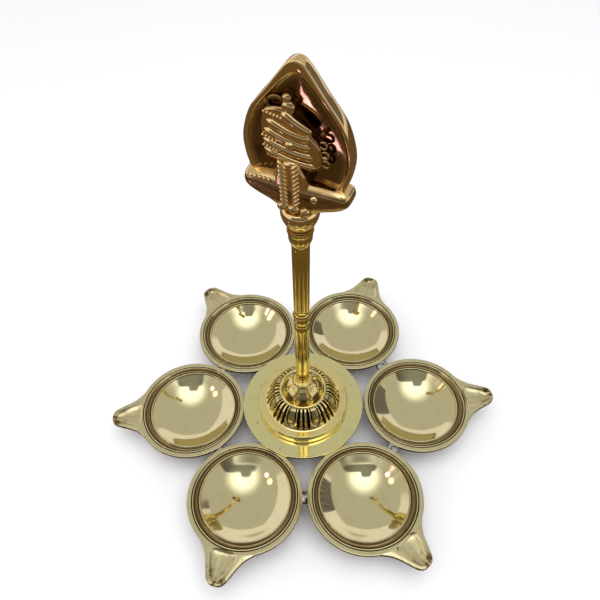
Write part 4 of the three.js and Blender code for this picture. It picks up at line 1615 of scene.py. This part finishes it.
@dataclass
class Leaf:
    """Cast leaf: rimmed dish, boat-shaped bar and raised ornament.

    It is built flat, with X across, Y up from the plate and Z towards the front (mm).
    """

    tip: float = 188.0
    half: float = 18.1
    thick: float = 4.3
    rim: float = 1.7
    tip_rim: float = 3.0
    dish: float = 2.7
    dish_curve: float = 1.9
    foot: float = 134.5
    bar_top: float = 147.0
    bar_half: float = 18.6
    bar_middle: float = 140.75
    bar_lift: float = 2.85

    def place(self) -> Matrix:
        """Stand the flat leaf up on the stem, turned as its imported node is."""
        at = vertex_array(frame["nodes"]["finial_leaf"])
        near_tip = at[at[:, 2] > at[:, 2].max() - 11 * MM][:, :2]
        spread, axes = np.linalg.eigh(np.cov(near_tip.T))
        across = axes[:, int(np.argmax(spread))]
        across = across if across[0] > 0 else -across
        turn = math.atan2(across[1], across[0])
        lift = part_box("center_plate")[1].z
        stand = Matrix.Rotation(math.pi / 2, 4, "X")
        return Matrix.Translation((0, 0, lift)) @ Matrix.Rotation(turn, 4, "Z") @ stand

    def _fixed(
        self,
        piece: bpy.types.Object,
        finish: Finish,
        recess: Callable[[np.ndarray], np.ndarray] | None,
        crease: float,
    ) -> bpy.types.Object:
        """Stand one flat-built piece up with the others, dressed, as part of the leaf's node."""
        return dress(piece, finish, "finial", "finial_leaf", self.place(), recess, crease)

    def leaf_outline(self) -> np.ndarray:
        """Anticlockwise outline of the leaf, running down behind the bar."""
        right = [
            (2.2, self.tip - 1.7), (4.7, self.tip - 4.6), (8.9, self.tip - 10.4),
            (14.8, self.tip - 18.4), (self.half - 0.5, self.tip - 26.2), (self.half, self.tip - 32),
            (16.5, self.tip - 40), (13.2, self.tip - 46.5), (7.5, self.tip - 49.8),
        ]
        left = [(-x, y) for x, y in reversed(right)]
        over = smooth_line(left + [(0, self.tip - 0.9)] + right, 12)
        under = smooth_line([right[-1], (0, self.tip - 50.8), left[0]], 8)[1:-1]
        return resampled((over + under)[::-1], 320) * MM

    def bar_outline(self) -> np.ndarray:
        """Anticlockwise outline of the bar, with upturned ends."""
        half = smooth_line(
            [(0, self.bar_top), (8, self.bar_top), (14.5, self.bar_top), (17.7, self.bar_top - 0.9),
             (self.bar_half, 143.6), (17.7, 140.9), (14.6, 138.6), (9.6, 136.4), (6.4, self.foot),
             (0, self.foot)],
            8,
        )
        left = [(-x, y) for x, y in half]
        return resampled(left + half[::-1][1:-1], 220) * MM

    def build_dish(self) -> bpy.types.Object:
        """The leaf plate: rounded wall, raised rim and hollow front."""
        outline = self.leaf_outline()
        front = self.thick / 2
        floor = front - self.dish
        levels = [
            (0.6, -front), (0.15, -front + 0.12), (0.0, -front + 0.5), (0.0, front - 0.45),
            (0.12, front - 0.15), (0.45, front), (1.0, front), (1.5, front - 0.15),
            (self.rim, front - 0.5), (self.rim + 0.2, floor + self.dish_curve),
        ]
        rings = []
        below_tip = (self.tip * MM - outline[:, 1]) / MM
        for step, height in levels:
            flat = inset(outline, step * MM)
            if height > 0:
                wider = self.tip_rim * max(step - 0.45, 0) / self.rim
                flat[:, 1] -= wider * MM * np.exp(-((below_tip / 6.5) ** 2))
            rings.append(np.column_stack([flat, np.full(len(flat), height * MM)]))
        edge = rings[-1][:, :2]
        back = rings[0][:, :2]
        middle = np.array((0.0, (self.tip - 26) * MM))
        for share in np.linspace(0.96, 0.04, 22):
            flat = middle + (edge - middle) * share
            height = floor + self.dish_curve * share**2.2
            rings.append(np.column_stack([flat, np.full(len(flat), height * MM)]))
        for share in np.linspace(0.75, 0.05, 6):
            flat = middle + (back - middle) * (0.8 - share + 0.05) / 0.8
            rings.insert(0, np.column_stack([flat, np.full(len(flat), -front * MM)]))
        rings = sorted(rings[:6], key=lambda r: np.ptp(r[:, 0])) + rings[6:]
        dish = lofted("leaf_dish", rings)
        return self._fixed(dish, DISH_BRONZE, self.dish_dark_reflection_and_patina, 50)

    def dish_dark_reflection_and_patina(self, at: np.ndarray) -> np.ndarray:
        """Painted dark reflection with patina on the hollow front, a little darkening on the back.
        """
        depth = self.thick / 2 - at[:, 2] / MM
        # Painted dark reflection, with patina, deeper in the hollow.
        hollow = np.clip((depth - 0.5) / 0.7, 0, 1) * 0.8
        return np.where(at[:, 2] > -self.thick / 4 * MM, hollow, 0.25)

    def build_bar(self) -> bpy.types.Object:
        """The boat-shaped bar with a bulging front and its scalloped lip."""
        outline = self.bar_outline()
        out = np.abs(outline[:, 0]) / MM / self.bar_half
        middle = (self.bar_middle + self.bar_lift * out**1.5) * MM
        rings = []
        for share, level in BAR_SECTION:
            across = outline[:, 0] * (1 - (1 - share) * 0.22)
            up = middle + (outline[:, 1] - middle) * share
            rings.append(np.column_stack([across, up, np.full(len(up), level * MM)]))
        parts = [lofted("bar", rings)]
        turns = np.linspace(0, 2 * math.pi, 28, endpoint=False)
        for across, half in SCALLOPS:
            shell = np.column_stack([across + half * np.cos(turns), 136.9 + 1.8 * np.sin(turns)])
            parts.append(pillow("scallop", shell * MM, in_metres(SCALLOP_EDGE)))
        whole = joined("leaf_bar", parts)
        return self._fixed(whole, FINIAL_BRONZE, self.bar_recess, 45)

    def bar_recess(self, at: np.ndarray) -> np.ndarray:
        """Tarnish on the bar's lower front, clean metal along its edges."""
        height = at[:, 1] / MM
        on_front = (at[:, 2] > 3 * MM) & (height > 138.2) & (height < 145.6)
        return np.where(on_front, 0.6, 0.12)

    def build_relief(self) -> bpy.types.Object:
        """Raised ornament: four bands over a dome, a crown, a jewel, loops and a boss."""
        parts = []
        for corners, front in RELIEF_BLOCKS:
            outline = resampled(smooth_line([*corners, corners[0]], 8)[:-1], 120)
            edge = [(0.3, -0.8), (0, -0.4), (0.1, front - 0.8), (0.5, front - 0.2), (1.3, front)]
            parts.append(pillow("block", outline * MM, in_metres(edge)))
        parts += self._bands()
        parts += self._small_things()
        whole = joined("leaf_relief", parts)
        return self._fixed(whole, FINIAL_BRONZE, self.relief_shade_and_patina, 60)

    def _bands(self) -> list[bpy.types.Object]:
        """The wedge and the four bands that slope down over the dome."""
        bands = []
        share = np.linspace(0, 1, 22)
        sway = np.sin(share * math.pi)
        for (start, start_up), (end, end_up) in zip(BAND_STARTS, BAND_ENDS):
            path = np.column_stack([
                start + (end - start) * share,
                start_up + (end_up - start_up) * share - 0.5 * sway,
                2.2 + 0.75 * sway,
            ])
            bands.append(ridge("band", path * MM, 1.5 * MM, 0.95 * MM))
        wedge = np.column_stack([-4.6 + 9.8 * share, 170.2 - 5.4 * share, 2.2 + 0.6 * sway])
        bands.append(ridge("wedge", wedge * MM, 1.7 * MM, 1.0 * MM))
        return bands

    def _small_things(self) -> list[bpy.types.Object]:
        """Crown, hook, jewel, band-end loops, boss and the bar's bright bead."""
        things = [knob.build() for knob in KNOBS]
        hook = np.array([(s, h, 1.5) for s, h in arc((-6.4, 172.2), 2.6, 20, 250, 20)])
        things.append(ridge("hook", hook * MM, 0.6 * MM, 0.7 * MM))
        arm = np.linspace((-3.4, 171.0, 1.6), (-9.6, 168.6, 1.6), 12)
        things.append(ridge("arm", arm * MM, 0.7 * MM, 0.7 * MM))
        for centre in LOOPS:
            loop = np.array([(s, h, 1.9) for s, h in arc(centre, 1.15, 200, 520, 18)])
            things.append(ridge("loop", loop * MM, 0.42 * MM, 0.5 * MM))
        return things

    def relief_shade_and_patina(self, at: np.ndarray) -> np.ndarray:
        """Painted shade with patina low in the relief, bare metal on its high places."""
        level = at[:, 2] / MM
        braid = at[:, 1] / MM < 153
        ground = np.where(braid, 4.2, 2.35)
        return np.clip((ground + 0.35 - level) / 0.7, 0, 1) * 0.9

    def build_beads(self) -> bpy.types.Object:
        """Braided column of paired beads, filigree rows and the ear's beads."""
        whole = joined("leaf_beads", [row.build() for row in BEAD_ROWS])
        return self._fixed(whole, FINIAL_BRONZE, None, 80)


# ---- Studio ------------------------------------------------------------------------------
@dataclass(frozen=True)
class SoftLight:
    """A rectangular light that looks at the lamp and isn't mirrored in it."""

    name: str
    at: tuple[float, float, float]
    size: tuple[float, float]
    radiance: float
    colour: tuple[float, float, float] = (1.0, 0.99, 0.965)

    def build(self, target: Vector) -> None:
        """Hang the light and aim it at a point."""
        lamp = bpy.data.lights.new(self.name, "AREA")
        lamp.shape = "RECTANGLE"
        lamp.size, lamp.size_y = self.size
        lamp.energy = self.radiance * math.pi * self.size[0] * self.size[1]
        lamp.color = self.colour
        made = bpy.data.objects.new(self.name, lamp)
        made.location = self.at
        made.rotation_euler = (target - Vector(self.at)).to_track_quat("-Z", "Y").to_euler()
        made.visible_glossy = False
        bpy.context.scene.collection.objects.link(made)


@dataclass(frozen=True)
class Glow:
    """A round soft-edged patch of light in the surroundings. Its angles are in degrees."""

    towards: tuple[float, float, float]
    full_angle: float
    end_angle: float
    colour: Colour
    falloff: float = 1.0

    def share(self, book: NodeBook, way: Wire) -> Wire:
        """How much of the patch lies along a direction.

        Args:
            book: The world's nodes.
            way: Direction looked along.

        Returns:
            1 within the full angle, falling smoothly to 0 at the end angle.
        """
        middle = Vector(self.towards).normalized()
        near = book.node(
            "ShaderNodeVectorMath", {"operation": "DOT_PRODUCT"}, {0: way, 1: middle}, "Value"
        )
        end, full = (math.cos(math.radians(a)) for a in (self.end_angle, self.full_angle))
        return book.ramp(near, end, full) ** self.falloff


@dataclass(frozen=True)
class Panel:
    """A soft-edged rectangle in the surroundings, in slopes seen from the lamp.

    Each side is a pair of slopes between which the rectangle appears or ends.
    """

    left: tuple[float, float]
    right: tuple[float, float]
    foot: tuple[float, float]
    head: tuple[float, float]
    in_front: float = 0.05

    def share(self, book: NodeBook, ahead: Wire, side: Wire, up: Wire) -> Wire:
        """How much of the rectangle lies along a direction.

        Args:
            book: The world's nodes.
            ahead: The direction's part towards the rectangle.
            side: Its part along the rectangle's width.
            up: Its upward part.

        Returns:
            1 inside the rectangle and 0 outside it or behind the lamp.
        """
        across, rise = side / ahead, up / ahead
        return (
            book.ramp(rise, *self.foot)
            * (1 - book.ramp(rise, *self.head))
            * book.ramp(across, *self.left)
            * (1 - book.ramp(across, *self.right))
            * book.ramp(ahead, 0.0, self.in_front)
        )


@dataclass(frozen=True)
class DarkShape:
    """One rounded dark rectangle of whoever leans over the lamp, in slopes from the lamp."""

    side: float
    level: float
    half_width: float
    half_height: float

    def share(self, book: NodeBook, side: Wire, up: Wire) -> Wire:
        """1 inside the shape, falling to 0 across its soft edge."""
        across = (side - self.side) / self.half_width
        rise = (up - self.level) / self.half_height
        far = across * across * across * across + rise * rise * rise * rise
        return 1 - book.ramp(far, 0.6, 1.5)


@dataclass(frozen=True)
class SoftRoom:
    """Surroundings that the polished metal mirrors: ceiling, walls and soft patches of light.

    Directions are unit vectors from the lamp, +Z up and +Y away from the front. On each side
    the wall ends, and the ceiling starts, at a slope: height over distance. Nothing of the
    room is seen directly, only a plain backdrop.
    """

    ceiling: Colour = (0.60, 0.60, 0.61, 1)
    wall: Colour = (0.98, 0.96, 1.08, 1)
    dark: Colour = (0.05, 0.045, 0.04, 1)
    backdrop: Colour = (0.97, 0.97, 0.965, 1)
    shelf_brown: Colour = (0.20, 0.07, 0.01, 1)
    back_slope: float = 0.33
    left_slope: float = 0.62
    right_slope: float = 0.58
    front_slope: float = 0.6
    edge_blur: float = 0.02
    lamp_glow: Glow = Glow((0.03, -0.36, 0.933), 1, 40, (2.05, 2.15, 2.4, 1), 2.2)
    small_glows: tuple[Glow, ...] = (
        Glow((-0.624, -0.305, 0.719), 1.6, 4.2, (6.5, 4.0, 4.9, 1)),
        Glow((-0.69, -0.12, 0.70), 2.2, 5.5, (3.6, 3.0, 2.4, 1)),
    )
    viewer: tuple[DarkShape, ...] = (
        DarkShape(0.3, 1.5, 0.95, 0.36),
        DarkShape(-0.12, 2.15, 0.36, 0.62),
        DarkShape(-0.15, 0.45, 1.05, 0.62),
    )
    viewer_depth: float = 0.85
    shutter: Panel = Panel((-0.06, -0.04), (0.8, 0.83), (0.05, 0.06), (0.58, 0.6))
    slat_pitch: float = 150
    slat_depth: float = 0.12
    shutter_depth: float = 0.86
    shelf: Panel = Panel((0.11, 0.13), (0.34, 0.36), (-0.03, -0.02), (0.045, 0.055))
    shelf_depth: float = 0.9

    def build(self) -> bpy.types.World:
        """Build the world.

        Returns:
            The world with its nodes.
        """
        world = bpy.data.worlds.new("surroundings")
        world.use_nodes = True
        book = NodeBook(world.node_tree)
        way = book.node("ShaderNodeTexCoord", {}, {}, "Generated")
        x, y, z = (book.node("ShaderNodeSeparateXYZ", {}, {0: way}, axis) for axis in "XYZ")
        edge = (y * self.back_slope).most(y * -self.front_slope)
        edge = edge.most(x * -self.left_slope).most(x * self.right_slope)
        above = book.ramp(z - edge, -self.edge_blur, self.edge_blur)
        shade = book.mix(above, self.wall, self.ceiling)
        shade = book.mix(self.lamp_glow.share(book, way), shade, self.lamp_glow.colour)
        shade = book.mix(self._viewer(book, x, y, z) * self.viewer_depth, shade, self.dark)
        slats = ((z / x) * self.slat_pitch).sine() * self.slat_depth + self.shutter_depth
        shade = book.mix(self.shutter.share(book, x, y, z) * slats, shade, self.dark)
        shelf = self.shelf.share(book, y, x, z) * self.shelf_depth
        shade = book.mix(shelf, shade, self.shelf_brown)
        for glow in self.small_glows:
            shade = book.mix(glow.share(book, way), shade, glow.colour)
        seen = book.node("ShaderNodeLightPath", {}, {}, "Is Camera Ray")
        sky = world.node_tree.nodes["Background"]
        book.feed(sky.inputs["Color"], book.mix(seen, shade, self.backdrop))
        return world

    def _viewer(self, book: NodeBook, x: Wire, y: Wire, z: Wire) -> Wire:
        """Someone who leans over the lamp from the front, as soft-edged dark shapes."""
        ahead = 0 - y
        side, up = x / ahead, z / ahead
        whole = self.viewer[0].share(book, side, up)
        for shape in self.viewer[1:]:
            whole = whole.most(shape.share(book, side, up))
        return whole * book.ramp(ahead, 0.02, 0.08)


@dataclass(frozen=True)
class Card:
    """A flat card on the floor that only reflections show: it lights and shades nothing."""

    name: str
    at: tuple[float, float]
    lift: float
    size: tuple[float, float]
    colour: Colour
    glow: float

    def build(self) -> None:
        """Lay the card on the floor, facing up."""
        wide, deep = self.size[0] / 2, self.size[1] / 2
        level = CAD_BOX[0][2] + self.lift
        corners = np.array([
            (self.at[0] + across * wide, self.at[1] + along * deep, level)
            for across, along in ((-1, -1), (1, -1), (1, 1), (-1, 1))
        ])
        made = new_object(self.name, corners, [(0, 1, 2, 3)])
        paint = bpy.data.materials.new(self.name)
        paint.use_nodes = True
        shader = paint.node_tree.nodes["Principled BSDF"]
        shader.inputs["Base Color"].default_value = self.colour
        shader.inputs["Roughness"].default_value = 1.0
        shader.inputs["Emission Color"].default_value = self.colour
        shader.inputs["Emission Strength"].default_value = self.glow
        made.data.materials.append(paint)
        made.visible_camera = False
        made.visible_diffuse = False
        made.visible_shadow = False


@dataclass(frozen=True)
class Studio:
    """Floor, lights and camera."""

    camera_at: tuple[float, float, float] = (-0.0006, -0.1516, 0.2909)
    camera_pitch: float = math.radians(51.29)
    camera_roll: float = math.radians(-1.06)
    lens: float = 36.24
    floor_half: float = 5.0
    look_at: tuple[float, float, float] = (0, 0, 0.05)
    lights: tuple[SoftLight, ...] = (
        SoftLight("overhead", (0.1, -0.25, 1.3), (1.3, 1.3), 2.25, (1.0, 0.985, 0.95)),
        SoftLight("left_fill", (-1.1, -0.2, 0.9), (0.7, 0.7), 0.9),
    )
    cards: tuple[Card, ...] = (
        Card("table", (0.0, 0.0), 0.2 * MM, (2.4, 2.4), (0.10, 0.065, 0.03, 1), 0.05),
        Card("low_lamp", (-0.1715, -0.085), 3 * MM, (0.006, 0.03), (0.75, 0.50, 1.0, 1), 12.0),
    )

    def build(self) -> None:
        """Set up everything round the lamp."""
        self._floor()
        bpy.context.scene.world = SoftRoom().build()
        for light in self.lights:
            light.build(Vector(self.look_at))
        for card in self.cards:
            card.build()
        self._camera()
        bpy.context.scene.view_settings.view_transform = "Standard"

    def _floor(self) -> None:
        """Lay the floor under the lamp."""
        half, level = self.floor_half, CAD_BOX[0][2]
        corners = np.array([
            (-half, -half, level), (half, -half, level), (half, half, level), (-half, half, level)
        ])
        floor = new_object("floor", corners, [(0, 1, 2, 3)])
        floor.data.materials.append(FloorFinish().material())

    def _camera(self) -> None:
        """Place the camera above and in front, looking down."""
        data = bpy.data.cameras.new("camera")
        data.sensor_width = 36.0
        data.lens = self.lens
        data.clip_start = 0.01
        made = bpy.data.objects.new("camera", data)
        tilt = Matrix.Rotation(math.pi / 2 - self.camera_pitch, 4, "X")
        roll = Matrix.Rotation(self.camera_roll, 4, "Z")
        made.matrix_world = Matrix.Translation(self.camera_at) @ tilt @ roll
        bpy.context.scene.collection.objects.link(made)
        bpy.context.scene.camera = made


# ---- The lamp ----------------------------------------------------------------------------
def dress_studs() -> None:
    """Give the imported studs, which stay as they are, the stem's finish."""
    for name in STUDS:
        node = frame["nodes"][name]
        node.data.materials.clear()
        node.data.materials.append(SHELF.take(STEM_BRASS))
        LOG.info("kept %s with a new finish", name)


def main() -> None:
    """Build every sub-assembly in order."""
    logging.basicConfig(level=logging.INFO, format="%(message)s")
    for number in range(1, CUPS + 1):
        Cup(number).build()
    MirrorPlate().build()
    for number in range(1, CUPS + 1):
        SolderLump(f"solder_link_{number}").build()
        SolderLump(f"plate_solder_{number}").build()
    Pedestal().build()
    for piece in STEM_PIECES:
        piece.build()
    RingBeads().build()
    fastening = Fastening()
    fastening.build_washer()
    fastening.build_nut()
    leaf = Leaf()
    leaf.build_dish()
    leaf.build_bar()
    leaf.build_relief()
    leaf.build_beads()
    dress_studs()
    Studio().build()


if __name__ == "__main__":
    main()
